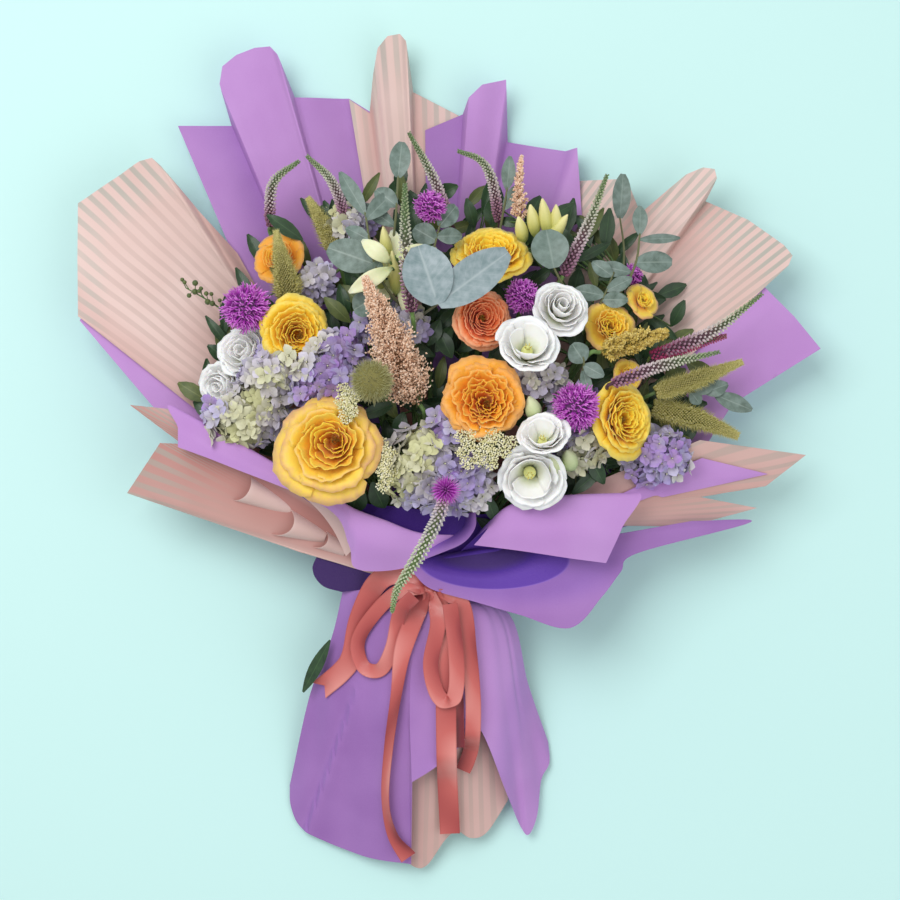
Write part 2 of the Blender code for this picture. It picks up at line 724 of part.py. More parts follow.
for i in range(8):
    turn = i * 2.399963
    out = math.cos(turn) * side + math.sin(turn) * other + front_axis * (0.9 - 0.18 * i)
    bracts.append(spike(front_head, front_head + unit(out) * 13, 3))
feet["veronica_front"] = (front_head - front_axis * 9, front_axis)
bracts.append(tube([front_head - front_axis * 9, front_head], [1.8, 2.2], 4))
spray("veronica_front", "spike",
      [([(446, 492, 172), (437, 520, 170), (416, 560, 158), (397, 590, 138), (392, 612, 124)], (7, 7, 2.2))],
      None, 10, extra=bracts)
feet["foxtail_left"] = spray("foxtail_left", "olive",
    [([(290, 300, 108), (282, 262, 114), (276, 231, 112)], (13, 9, 2.5))], None, 8, 7, 0.25)
feet["foxtail_back"] = spray("foxtail_back", "olive",
    [([(334, 250, 86), (322, 222, 90), (308, 198, 90)], (9, 8, 2.5))], None, 7, 7, 0.25)
feet["foxtail_right"] = spray("foxtail_right", "olive",
    [([(655, 393, 108), (700, 378, 108), (742, 362, 104)], (9, 8.5, 3)),
     ([(652, 407, 92), (700, 420, 92), (738, 436, 90)], (11, 10, 4))], (634, 410, 76), 7, 7, 0.25)
feet["astilbe_front"] = spray("astilbe_front", "astilbe",
    [([(420, 404, 142), (404, 366, 160), (388, 325, 172), (368, 285, 174)], (22, 15, 2.5))], None, 10, 8, 0.45)
feet["astilbe_back"] = spray("astilbe_back", "astilbe",
    [([(520, 222, 92), (519, 190, 96), (521, 157, 94)], (10, 7, 2))], None, 7, 6, 0.4)
feet["solidago"] = spray("solidago", "olive",
    [([(600, 352, 138), (632, 342, 134), (664, 333, 124)], (13, 12, 4))], None, 8, 7, 0.4)

back_sheet("lilac_right", "lilac", 0, [(640, 520), (700, 450), (735, 395), (816, 350), (790, 318), (760, 288), (690, 240),
                                    (585, 300)])
back_sheet("stripe_back_right", "stripe", 1,
           [(750, 345), (772, 300), (788, 258), (745, 222), (702, 202), (712, 172), (690, 173), (640, 214),
            (626, 180), (575, 180), (535, 240)], {5: 20, 6: 16, 8: 8})
back_sheet("lilac_back_left", "lilac", 0,
           [(178, 432), (130, 376), (84, 322), (140, 190), (177, 126), (231, 125), (222, 73), (248, 50),
            (274, 50), (294, 96), (348, 95), (369, 108), (425, 140), (478, 150)],
           {7: 24, 8: 34, 9: 20})
back_sheet("lilac_back_right", "lilac", 2,
           [(425, 128), (463, 112), (476, 90), (506, 80), (508, 140), (542, 146), (576, 148), (582, 215)],
           {2: 24, 3: 20, 6: 10})
back_sheet("stripe_back", "stripe", 1,
           [(348, 96), (371, 110), (377, 50), (392, 37), (406, 38), (413, 90), (440, 103), (465, 116)],
           {2: 20, 3: 36, 4: 26})
back_sheet("stripe_left", "stripe", 1,
           [(120, 345), (83, 318), (82, 262), (82, 206), (150, 164), (166, 166), (200, 200), (235, 240)],
           {4: 20, 5: 24})

back_sheet("skirt_back", "lilac", 0,
           [(345, 770), (345, 805), (378, 832), (412, 842), (450, 836), (490, 806), (500, 770)], outer_rows=2, start=-8.0)
NP = NECK_PY
rib_sheet("lilac_liner", "lilac_deep",
    [[(421, NP, "-1"), (418, 581, "-1"), (372, 580, "-1.3"), (316, 582, "-2")],
     [(422, NP, "-1"), (418, 576, "-1"), (365, 566, "-1.3"), (318, 556, "-2.2")],
     [(423, NP, "-1"), (405, 565, "-1"), (375, 540, "-1.5"), (345, 508, "-2.2")],
     [(427, NP, "-1"), (420, 568, "-1"), (405, 545, "-1"), (390, 506, "-1")],
     [(430, NP, "-1"), (431, 568, "-1"), (435, 545, "-1"), (440, 512, "-1")],
     [(433, NP, "-1"), (444, 568, "-1"), (465, 550, "-1"), (490, 514, "-1")],
     [(437, NP, "-1"), (458, 568, "-1"), (500, 550, "-1"), (560, 508, "-1")],
     [(439, NP, "-1"), (465, 568, "-1"), (520, 560, "-1"), (600, 524, "-1")]], (1, 4))
rib_sheet("stripe_low_left", "stripe",
    [[(420, NP, "0"), (416, 580, "0"), (380, 576, "0"), (346, 564, "0")],
     [(420, NP, "0"), (416, 579, "0"), (370, 572, "0"), (300, 552, "0")],
     [(421, NP, "0"), (412, 578, "0"), (300, 545, "0"), (127, 493, "0")],
     [(421, NP, "0"), (412, 576, "0"), (300, 520, "0"), (160, 443, "0")],
     [(422, NP, "0"), (412, 574, "0"), (300, 505, "0"), (182, 444, "0")],
     [(422, NP, "0"), (412, 572, "0"), (290, 495, "0"), (130, 405, "0")],
     [(423, NP, "0"), (412, 570, "0"), (300, 490, "0"), (178, 410, "0")]], (1, 6))
rib_sheet("stripe_low_right", "stripe",
    [[(433, NP, "0"), (560, 500, "0"), (700, 440, "0")],
     [(434, NP, "0"), (590, 505, "0"), (806, 455, "0")],
     [(435, NP, "0"), (590, 512, "0"), (766, 486, "0")],
     [(436, NP, "0"), (585, 518, "0"), (700, 497, "0")],
     [(437, NP, "0"), (575, 526, "0"), (757, 508, "0")],
     [(438, NP, "0"), (570, 532, "0"), (690, 526, "0")]], (1, 6))
rib_sheet("lilac_collar", "lilac",
    [[(426, NP, "1"), (440, 560, "1"), (462, 532, 119), (458, 541, 122), (448, 547, 121)],
     [(426, NP, "1"), (425, 560, "1"), (420, 533, 120), (412, 548, 124), (404, 568, 116)],
     [(425, NP, "1"), (410, 555, "1"), (385, 520, 124), (368, 540, 130), (357, 569, 114)],
     [(425, NP, "1"), (400, 550, "1"), (360, 511, 126), (352, 525, 130), (349, 545, 119)],
     [(424, NP, "1"), (390, 548, "1"), (342, 502, 125), (334, 504, 127), (327, 508, 123)],
     [(423, NP, "1"), (340, 520, "1"), (245, 446, 112), (235, 458, 114), (228, 466, 112)],
     [(422, NP, "1"), (320, 510, "1"), (178, 409, 106), (178, 428, 108), (178, 447, 106)]], (1, 8))
rib_sheet("lilac_flap", "lilac",
    [[(431, NP, "2"), (452, 560, "2"), (487, 528, 120), (482, 536, 124), (474, 545, 122)],
     [(432, NP, "2"), (462, 555, "2"), (510, 505, 126), (515, 528, 130), (522, 551, 123)],
     [(433, NP, "2"), (480, 548, "2"), (560, 496, 124), (565, 527, 128), (568, 558, 119)],
     [(434, NP, "2"), (500, 545, "2"), (634, 493, 113), (622, 528, 117), (606, 563, 108)]], (1, 8))
rib_sheet("lilac_fold_right", "lilac",
    [[(434, NP, "1"), (520, 548, "1"), (640, 500, "1"), (664, 497, "1")],
     [(435, NP, "1"), (530, 545, "1"), (680, 487, "1"), (768, 474, "1")],
     [(434, NP, "1"), (530, 540, "1"), (650, 480, "1"), (702, 458, "1")]], (2, 6))
rib_sheet("lilac_lip", "lilac",
    [[(424, NP, "3"), (424, 572, "3"), (420, 560, 106), (416, 566, 109), (413, 573, 108)],
     [(426, NP, "3"), (430, 570, "3"), (436, 556, 107), (434, 572, 109), (431, 589, 106)],
     [(428, NP, "3"), (442, 568, "3"), (462, 552, 108), (468, 576, 109), (475, 602, 104)],
     [(430, NP, "3"), (452, 566, "3"), (492, 549, 108), (505, 580, 108), (520, 615, 102)],
     [(432, NP, "3"), (462, 566, "3"), (522, 546, 106), (545, 585, 104), (570, 627, 96)],
     [(434, NP, "3"), (470, 566, "3"), (548, 544, 102), (575, 570, 100), (606, 599, 92)],
     [(436, NP, "3"), (478, 566, "3"), (572, 542, 97), (605, 550, 92), (641, 562, 84)],
     [(436, NP, "3"), (482, 566, "3"), (574, 541, 96), (612, 541, 90), (751, 522, 74)],
     [(436, NP, "3"), (484, 566, "3"), (576, 540, 95), (606, 536, 91), (692, 521, 84)]], (1, 7))

skirt_left = [
    [(417, 597, 75), (416, 607, 75), (353, 622, 50), (312, 695, 30), (288, 795, 5)],
    [(419, 597, 77.5), (418, 607, 78), (368, 620, 68), (344, 710, 50), (318, 838, 9)],
    [(423, 597, 79.5), (422, 607, 81), (392, 617, 82), (378, 720, 62), (368, 857, 18)],
    [(427, 597, 80.5), (426, 607, 83), (412, 616, 88), (409, 720, 70), (411, 864, 26)]]
skirt_right = [
    [(428, 597, 81), (428, 607, 83), (418, 616, 88), (410, 690, 78), (412, 782, 62)],
    [(430, 597, 81), (430, 607, 83), (431, 616, 89), (432, 690, 79), (434, 768, 65)],
    [(432, 597, 81), (432, 607, 83), (448, 616, 88), (456, 690, 78), (460, 746, 68)],
    [(433, 597, 81), (434, 607, 82.5), (462, 617, 86), (472, 680, 77), (479, 728, 68)],
    [(435, 597, 80.5), (436, 607, 81), (478, 619, 80), (496, 700, 64), (507, 794, 40)],
    [(437, 597, 79.5), (438, 607, 80), (492, 621, 72), (512, 710, 50), (529, 834, 14)],
    [(439, 597, 78.5), (440, 607, 78.5), (504, 623, 62), (528, 700, 36), (540, 779, 12)],
    [(441, 597, 77), (442, 607, 77), (512, 625, 52), (532, 688, 28), (550, 751, 6)]]
rib_sheet("skirt_front", "lilac", skirt_left + skirt_right, (1, 8))
rib_sheet("skirt_stripe", "stripe",
    [[(421, 607, 73), (396, 625, 61), (384, 700, 54), (395, 848, 18)],
     [(423, 607, 74), (410, 625, 70), (408, 700, 64), (413, 866, 17)],
     [(428, 607, 76), (430, 622, 78), (430, 700, 68), (427, 865, 17)],
     [(431, 607, 76), (440, 622, 78), (443, 700, 68), (445, 840, 22)],
     [(433, 607, 76), (450, 622, 77), (455, 700, 66), (457, 831, 24)],
     [(435, 607, 75), (458, 625, 71), (466, 700, 63), (471, 838, 20)],
     [(437, 607, 74), (466, 625, 64), (482, 700, 56), (487, 832, 18)],
     [(439, 607, 73), (474, 627, 54), (498, 700, 44), (508, 800, 19)]], (1, 6))

under = ("skirt_front", "skirt_stripe")
knot = at(430, 592, 95)
ribbon_shapes = [
    ring_band(25, 37.6, 87.8, 586, 602, 1.2),
    ball(knot, 8, (1, 0, 0), 1.5, 2, 6),
    ribbon_strip([(422, 590, 97), (385, 585, 96), (358, 618), (350, 655), (322, 694)], 20, 0, under, 7),
    ribbon_strip([(424, 590, 98), (398, 592, 99), (366, 622), (356, 652), (366, 672), (386, 662), (396, 632),
                  (412, 600, 102)], 11, 2, under, 10),
    ribbon_strip([(426, 592, 97), (408, 625), (398, 680), (391, 740), (389, 810), (405, 858)], 17, 1, under, 7),
    ribbon_strip([(432, 592, 98), (438, 620), (434, 670), (441, 697), (452, 690), (454, 650), (448, 600, 103)],
                 15, 3, under, 9),
    ribbon_strip([(436, 592, 97), (448, 640), (446, 700), (447, 770), (449, 832)], 19, 0, under, 6),
    ribbon_strip([(440, 592, 98), (464, 606, 99), (470, 660), (472, 720), (468, 764), (459, 764), (457, 700)],
                 15, 2, under, 8)]
node("ribbon", ribbon_shapes, "ribbon")

# Stems: a bundle at the tie, rods up to the blooms and tails below.
tie = NECK - vec(0, 0, 0.7)
stems = [tube([tie + vec(0, 14, 0), tie + vec(0, 5, 0), tie - vec(0, 9, 0), tie - vec(0, 17, 0)],
              [14, 16.2, 16.2, 11.5], 9)]
hubs = {
    "hydrangea_left": (300, 392, 84),
    "hydrangea_centre": (440, 452, 108),
    "hydrangea_right": (648, 452, 78),
    "hydrangea_mid": (572, 440, 100),
    "hydrangea_top": (350, 262, 60),
    "lace_left": (360, 440, 112),
    "lace_centre": (482, 448, 116),
    "lily": (404, 300, 104),
    "eucalyptus_left": (418, 318, 90),
    "eucalyptus_right": (590, 320, 70),
}
for name, (px, py, z) in hubs.items():
    feet[name] = (at(px, py, z), vec(0, 0, 1))
for name, (foot, axis) in feet.items():
    stems.append(tube(stem_points(foot, axis), [2.4] * 4, 3))
for i in range(7):
    turn = 2 * math.pi * (i + 0.5) / 7
    spread = vec(math.cos(turn), 0, math.sin(turn) * 0.6)
    end = vec(NECK[0], at(0, 786 - 6 * (i % 3), 34)[1], 29) + spread * 16
    stems.append(tube([NECK - vec(0, 14, 0) + spread * 9, end], [2.8, 2.8], 4))
node("stems", stems, "green")

# What fills the spaces between, leaving out whatever would meet another bloom.
hydrangea("hydrangea_left", [(247, 415, 128, 42, 32, 11), (325, 372, 152, 42, 36, 13), (272, 370, 138, 32, 22, 5)],
          hubs["hydrangea_left"], 9.4)
hydrangea("hydrangea_centre", [(425, 468, 160, 40, 40, 16), (465, 484, 158, 26, 28, 6)],
          hubs["hydrangea_centre"], 9.4)
hydrangea("hydrangea_right", [(655, 455, 118, 34, 28, 11)], hubs["hydrangea_right"], 9.2)
hydrangea("hydrangea_mid", [(578, 430, 142, 38, 42, 13), (542, 378, 146, 24, 16, 4)], hubs["hydrangea_mid"], 9.2)
hydrangea("hydrangea_top", [(352, 222, 96, 22, 16, 7), (318, 282, 100, 16, 18, 5)], hubs["hydrangea_top"], 9.5)


def lace(name, heads, hub, colour="lace"):
    """Flat heads of tiny florets. heads lists (px, py, z, rx, ry, florets)."""
    middle = at(*hub) + vec(0, 0, HUB)
    shapes = [ball(middle, HUB, (0, 0, 1), 1.0, 2, 5)]
    for px, py, z, rx, ry, count in heads:
        for i in range(count):
            share = math.sqrt((i + 0.3) / count)
            a = i * 2.399963
            tip = at(px + rx * share * math.cos(a), py + ry * share * math.sin(a), z - 5 * share * share)
            shape = floret(middle, tip, 5.6, i * 0.7, 1.0)
            if free_of_others(outward(shape), 0.5):
                shapes.append(shape)
    node(name, shapes, colour)


lace("lace_left", [(348, 403, 176, 10, 16, 5), (385, 465, 158, 8, 26, 6)], hubs["lace_left"])
lace("lace_centre", [(484, 446, 172, 30, 22, 11)], hubs["lace_centre"])


def leaves(name, hub, stalks, colour="eucalyptus"):
    """Leaves on thin twigs from one hub. stalks lists (twig points, leaves as (root, tip, width))."""
    middle = at(*hub) + vec(0, 0, HUB)
    shapes = [ball(middle, HUB, (0, 0, 1), 1.0, 2, 5)]
    for twig, blades in stalks:
        line = [middle] + [at(*p) for p in twig]
        shapes.append(tube(line, np.linspace(1.7, 1.1, len(line)), 3))
        dense = linear(line, 40)
        for root, tip, width in blades:
            start = dense[np.argmin(np.linalg.norm(dense - at(*root), axis=1))]
            shapes.append(leaf(start, at(*tip), width, 2.0, rows=3 if width > 32 else 2))
    node(name, shapes, colour)


leaves("eucalyptus_left", hubs["eucalyptus_left"], [
    ([(392, 296, 140), (374, 262, 150), (365, 212, 132)],
     [((374, 264, 150), (328, 250, 142), 34), ((370, 238, 146), (344, 224, 134), 22),
      ((366, 215, 132), (338, 170, 118), 20), ((367, 220, 132), (392, 190, 120), 24)]),
    ([(438, 304, 182)],
     [((438, 304, 182), (418, 246, 180), 44), ((438, 304, 182), (508, 252, 176), 36)])])
leaves("eucalyptus_right", hubs["eucalyptus_right"], [
    ([(566, 290, 112), (554, 268, 122)], [((554, 268, 122), (546, 230, 116), 34)]),
    ([(622, 290, 104), (636, 262, 112), (640, 232, 104)],
     [((636, 262, 112), (672, 262, 104), 20), ((640, 235, 104), (640, 206, 98), 14),
      ((639, 240, 106), (680, 238, 98), 9), ((630, 272, 110), (598, 266, 106), 14)])])
low_lily = hubs["lily"]
lily_heart, lily_axis = at(402, 276, 128), unit(vec(0, 0.1, 1))
lily_rings = [(2.2, -20, 0.2, 0), (5, -12, 0.2, 0), (44, -1.0, 0.2, 1), (42, 0.2, 0.2, 1), (5, -5, 0.2, 0)]
lily = [rosette(lily_heart, lily_axis, lily_rings, 6, 0.0, 0.86)]
lily += branches([(lily_heart - lily_axis * 18, lily_axis)], low_lily)
node("lily", lily, "cream")

# Move everything so that the bounding box stands centred on the origin.
low = np.min([v[0] for v in placed.values()], axis=0)
high = np.max([v[1] for v in placed.values()], axis=0)
shift = np.array([(low[0] + high[0]) / 2, (low[1] + high[1]) / 2, low[2]])
for obj in bpy.data.objects:
    for vertex in obj.data.vertices:
        vertex.co = vertex.co - Vector(shift * METRE)
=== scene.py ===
"""The look of a wrapped, hand-tied bouquet that lies on its back: papers, ribbon, blooms and leaves."""

import functools
import math
import random

import bpy
import numpy as np
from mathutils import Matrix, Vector
from mathutils.bvhtree import BVHTree


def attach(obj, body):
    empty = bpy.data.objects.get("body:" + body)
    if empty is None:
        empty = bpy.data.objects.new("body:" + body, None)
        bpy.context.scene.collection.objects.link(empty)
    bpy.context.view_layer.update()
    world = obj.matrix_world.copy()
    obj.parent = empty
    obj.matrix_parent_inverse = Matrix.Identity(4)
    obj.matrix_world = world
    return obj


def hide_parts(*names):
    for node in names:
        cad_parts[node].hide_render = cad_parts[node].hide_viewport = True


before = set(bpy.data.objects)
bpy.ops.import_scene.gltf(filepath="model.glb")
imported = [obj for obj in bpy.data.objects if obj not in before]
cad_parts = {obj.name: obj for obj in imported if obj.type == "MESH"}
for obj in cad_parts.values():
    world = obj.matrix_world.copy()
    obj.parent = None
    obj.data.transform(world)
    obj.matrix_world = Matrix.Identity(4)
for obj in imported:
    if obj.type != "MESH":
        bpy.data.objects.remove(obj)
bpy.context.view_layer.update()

# Lengths are millimetres until a mesh is made. Plan positions are grid units of 0.9 mm, counted right and
# down from the upper left corner of a 900-unit square, as the camera sees them. SHIFT is where the frame's
# origin lies.
METRE = 0.001
UNIT = 0.9
MIDDLE = 450.0
EYE_HEIGHT = 2400.0
TRUE_HEIGHT = 100.0
SHIFT = np.array([-0.9389, -2.4664, 4.0])
NECK_PX, NECK_PY = 430.0, 590.0
NECK_Z = 60.0
FLAT_Z = 4.0

# How thick paper is here and in the CAD, and petals with the ribbon, and leaves
PAPER = 0.45
CAD_PAPER = 0.8
PETAL = 0.4
LEAF = 0.5

# The turn from one floret to the next, and the shares of a spike's length where its widths are given
GOLDEN = 2.399963
WIDTH_SHARES = [0, 0.12, 0.5, 1]
shared_rng = np.random.default_rng(5)


# Vector helpers

def vec(*values):
    return np.array(values, float)


UP = vec(0, 0, 1)


def unit(v):
    v = np.asarray(v, float)
    return v / max(np.linalg.norm(v), 1e-9)


def each_unit(v):
    return v / np.maximum(np.linalg.norm(v, axis=-1, keepdims=True), 1e-9)


def at(px, py, z):
    """The point at height z that is seen from above at this plan position."""
    scale = UNIT * (EYE_HEIGHT - z) / (EYE_HEIGHT - TRUE_HEIGHT)
    return vec((px - MIDDLE) * scale, (MIDDLE - py) * scale, z)


NECK = at(NECK_PX, NECK_PY, NECK_Z)


def plan_of(grid):
    """Plan positions of these points, as seen from above."""
    scale = UNIT * (EYE_HEIGHT - grid[..., 2]) / (EYE_HEIGHT - TRUE_HEIGHT)
    return MIDDLE + grid[..., 0] / scale, MIDDLE - grid[..., 1] / scale


def frame_of(axis):
    """Two unit vectors across this axis."""
    axis = unit(axis)
    side = unit(np.cross(vec(0, 1, 0.13), axis))
    return side, np.cross(axis, side)


def across_each(ahead, hint):
    """Two unit vectors across each of these directions."""
    side = each_unit(np.cross(hint, ahead))
    return side, np.cross(ahead, side)


def evenly(count):
    """Angles all round."""
    return 2 * math.pi * np.arange(count) / count


def spokes(axis, angles):
    """Unit vectors across this axis, at these angles round it."""
    side, other = frame_of(axis)
    return np.cos(angles)[:, None] * side + np.sin(angles)[:, None] * other


def dome(axis, count, low, stretch=1.0):
    """Directions spread over a dome round this axis, from its top down to low."""
    i = np.arange(count)
    high = 1 - (1 - low) * (i + 0.5) / count
    flat = np.sqrt(np.maximum(1 - high ** 2, 0))
    return flat[:, None] * spokes(axis, i * GOLDEN) + (high * stretch)[:, None] * axis


def turned(v, angle):
    """A plan direction turned to the left."""
    c, s = math.cos(angle), math.sin(angle)
    return vec(v[0] * c - v[1] * s, v[0] * s + v[1] * c)


def smooth(x):
    x = np.clip(x, 0.0, 1.0)
    return x * x * (3 - 2 * x)


def linear(points, count):
    """Points spread evenly by parameter along straight runs between these."""
    points = np.array(points, float)
    s = np.linspace(0, len(points) - 1, count)
    k = np.minimum(s.astype(int), len(points) - 2)
    t = (s - k)[:, None]
    return points[k] * (1 - t) + points[k + 1] * t


def curve(points, count):
    """Points spread evenly by parameter along a smooth line through these."""
    p = np.array(points, float)
    if len(p) == 2:
        return linear(p, count)
    ends = np.vstack([2 * p[0] - p[1], p, 2 * p[-1] - p[-2]])
    s = np.linspace(0, len(p) - 1, count)
    k = np.minimum(s.astype(int), len(p) - 2)
    t = (s - k)[:, None]
    a, b, c, d = ends[k], ends[k + 1], ends[k + 2], ends[k + 3]
    return 0.5 * (2 * b + (c - a) * t + (2 * a - 5 * b + 4 * c - d) * t * t
                  + (3 * b - a - 3 * c + d) * t ** 3)


def ripple(x, y, scale):
    """A smooth wavy field between about -1 and 1."""
    a, b = x / scale, y / scale
    return (np.sin(1.7 * a + 2.3 * b) + np.sin(-2.1 * a + 1.3 * b + 2) + np.sin(0.7 * a - 3.1 * b + 4)) / 3


# Closed shapes, each a pair of arrays (points, triangles)

@functools.cache
def grid_faces(rows, cols):
    """Triangles of a closed blade of two grids, upper first."""
    faces = []
    count = rows * cols
    for i in range(rows - 1):
        for j in range(cols - 1):
            a, b = i * cols + j, i * cols + j + 1
            c, d = b + cols, a + cols
            faces += [(a, d, c), (a, c, b)]
            faces += [(a + count, c + count, d + count), (a + count, b + count, c + count)]
    rim = list(range(cols)) + [i * cols + cols - 1 for i in range(1, rows)]
    rim += [(rows - 1) * cols + j for j in range(cols - 2, -1, -1)]
    rim += [i * cols for i in range(rows - 2, 0, -1)]
    for a, b in zip(rim, rim[1:] + rim[:1]):
        faces += [(a, b, b + count), (a, b + count, a + count)]
    return np.array(faces)


@functools.cache
def ring_faces(count, sides):
    """Triangles over rings of points that are followed by a first and a last point."""
    faces = []
    for i in range(count - 1):
        for j in range(sides):
            a, b = i * sides + j, i * sides + (j + 1) % sides
            faces += [(a, b, b + sides), (a, b + sides, a + sides)]
    first, last = count * sides, count * sides + 1
    for j in range(sides):
        k = (j + 1) % sides
        faces += [(first, k, j), (last, first - sides + j, first - sides + k)]
    return np.array(faces)


def blade(grid, thick):
    """A closed thin blade round this grid of points."""
    grid = np.asarray(grid, float)
    normal = each_unit(np.cross(np.gradient(grid, axis=0), np.gradient(grid, axis=1)))
    top, low = grid + normal * thick / 2, grid - normal * thick / 2
    return np.vstack([top.reshape(-1, 3), low.reshape(-1, 3)]), grid_faces(*grid.shape[:2])


def both(values):
    """A mark for the two sides of a blade."""
    return np.tile(np.asarray(values, float).ravel(), 2)


def tube(points, radii, sides=6):
    """A round body along these points."""
    points = np.array(points, float)
    radii = np.broadcast_to(np.asarray(radii, float), (len(points),))
    ahead = each_unit(np.gradient(points, axis=0))
    side = frame_of(ahead[0])[0]
    turns = evenly(sides)[:, None]
    rings = []
    for p, r, axis in zip(points, radii, ahead):
        side = unit(side - axis * side.dot(axis))
        rings.append(p + r * (np.cos(turns) * side + np.sin(turns) * np.cross(axis, side)))
    return np.vstack(rings + [points[:1], points[-1:]]), ring_faces(len(points), sides)


def tube_marks(shares, sides):
    """A mark along a tube, one share for each of its rings."""
    return np.append(np.repeat(shares, sides), [0, 1])


def spindle(rings, sides, root=(0, 0, 0), tip=(0, 0, 1)):
    """A small body along +Z, from 0 to 1. rings lists (x, y, height, radius)."""
    points = [(x + r * math.cos(a), y + r * math.sin(a), high)
              for x, y, high, r in rings for a in evenly(sides)]
    return np.array(points + [root, tip], float), ring_faces(len(rings), sides)


def curl(bend):
    """A narrow floret that bends sideways; bend counts its own widths."""
    def middle(high):
        return bend * math.sin(high * 3.6), bend * 0.7 * (math.cos(high * 4.2) - 1)

    rings = [(*middle(high), high, r) for high, r in ((0.0, 0.6), (0.35, 1.0), (0.7, 0.8), (0.9, 0.7))]
    return spindle(rings, 3, (0, 0, -0.02), (*middle(1.0), 1.0))


BEAD = spindle([(0, 0, 0.22, 0.8), (0, 0, 0.6, 1.0)], 4)
NEEDLE = spindle([(0, 0, 0.25, 1.0)], 3)
CURLS = [curl(2.4), curl(-3.0), curl(1.2)]


def ball(centre, radius, stretch=1.0, rings=8, sides=14):
    """A round body, stretched along Z."""
    a = math.pi * np.arange(1, rings) / rings
    tall = UP * radius * stretch
    shape, faces = tube(centre - np.cos(a)[:, None] * tall, radius * np.sin(a), sides)
    shape[-2:] = centre - tall, centre + tall
    return shape, faces


# Pieces

class Piece:
    """Gathers closed shapes with the marks that colour them, and makes one object of them.

    The object stands for the solid of its name, unless it is an added one.
    """

    def __init__(self, name, added=False):
        self.name, self.added = name, added
        self.points, self.faces, self.marks, self.slots = [], [], {}, []
        self.count = 0

    def add(self, shape, slot=0, **marks):
        """Adds a shape in one material slot. A mark is one number, or one for each point."""
        points, faces = shape
        self.points.append(points)
        self.faces.append(np.asarray(faces) + self.count)
        self.slots.append(np.full(len(faces), slot))
        for key in sorted(set(self.marks) | set(marks)):
            value = np.broadcast_to(np.asarray(marks.get(key, 0.0), float), (len(points),))
            self.marks.setdefault(key, [np.zeros(self.count)]).append(value)
        self.count += len(points)

    def placed(self, shape, roots, axes, slot, own, **marks):
        """Adds copies of a shape, each at its root along its own three axes.

        own has marks by the shape's points, and marks has them by copy.
        """
        points, faces = shape
        n = len(roots)
        spread = roots[:, None]
        for k, axis in enumerate(axes):
            spread = spread + axis[:, None] * points[None, :, k : k + 1]
        offsets = (np.arange(n) * len(points))[:, None, None]
        each = {key: np.repeat(np.broadcast_to(value, (n,)), len(points)) for key, value in marks.items()}
        each |= {key: np.tile(value, n) for key, value in own.items()}
        self.add((spread.reshape(-1, 3), (faces[None] + offsets).reshape(-1, 3)), slot, **each)

    def copies(self, shape, roots, tips, radii, slot=0, **marks):
        """Adds copies of a unit shape along +Z, from each root to its tip."""
        roots = np.asarray(roots, float)
        ahead = np.asarray(tips, float) - roots
        radii = np.broadcast_to(np.asarray(radii, float), (len(roots),))[:, None]
        x, y = across_each(each_unit(ahead), vec(0.31, 0.9, 0.17))
        self.placed(shape, roots, (x * radii, y * radii, ahead), slot, {"tip": shape[0][:, 2]}, **marks)

    def make(self, materials, sharp=40.0):
        """The object. Edges over the sharp angle in degrees stay sharp, and none where it is 0."""
        points = (np.vstack(self.points) - SHIFT) * METRE
        faces = np.vstack(self.faces)
        mesh = bpy.data.meshes.new(self.name + "_look")
        mesh.vertices.add(len(points))
        mesh.vertices.foreach_set("co", points.astype(np.float32).ravel())
        mesh.loops.add(len(faces) * 3)
        mesh.loops.foreach_set("vertex_index", faces.astype(np.int32).ravel())
        mesh.polygons.add(len(faces))
        mesh.polygons.foreach_set("loop_start", np.arange(0, len(faces) * 3, 3, dtype=np.int32))
        mesh.polygons.foreach_set("material_index", np.concatenate(self.slots).astype(np.int32))
        mesh.update(calc_edges=True)
        for key, parts in self.marks.items():
            layer = mesh.attributes.new(key, "FLOAT", "POINT")
            layer.data.foreach_set("value", np.concatenate(parts).astype(np.float32))
        for material in materials:
            mesh.materials.append(material)
        mesh.shade_smooth()
        if sharp:
            mesh.set_sharp_from_angle(angle=math.radians(sharp))
        piece = bpy.data.objects.new(mesh.name, mesh)
        bpy.context.scene.collection.objects.link(piece)
        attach(piece, "root")
        if not self.added:
            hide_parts(self.name)
        return piece


# Materials

def srgb(code):
    """A linear colour from a six-digit code."""
    out = []
    for i in (0, 2, 4):
        c = int(code[i : i + 2], 16) / 255
        out.append(c / 12.92 if c <= 0.04045 else ((c + 0.055) / 1.055) ** 2.4)
    return (*out, 1.0)


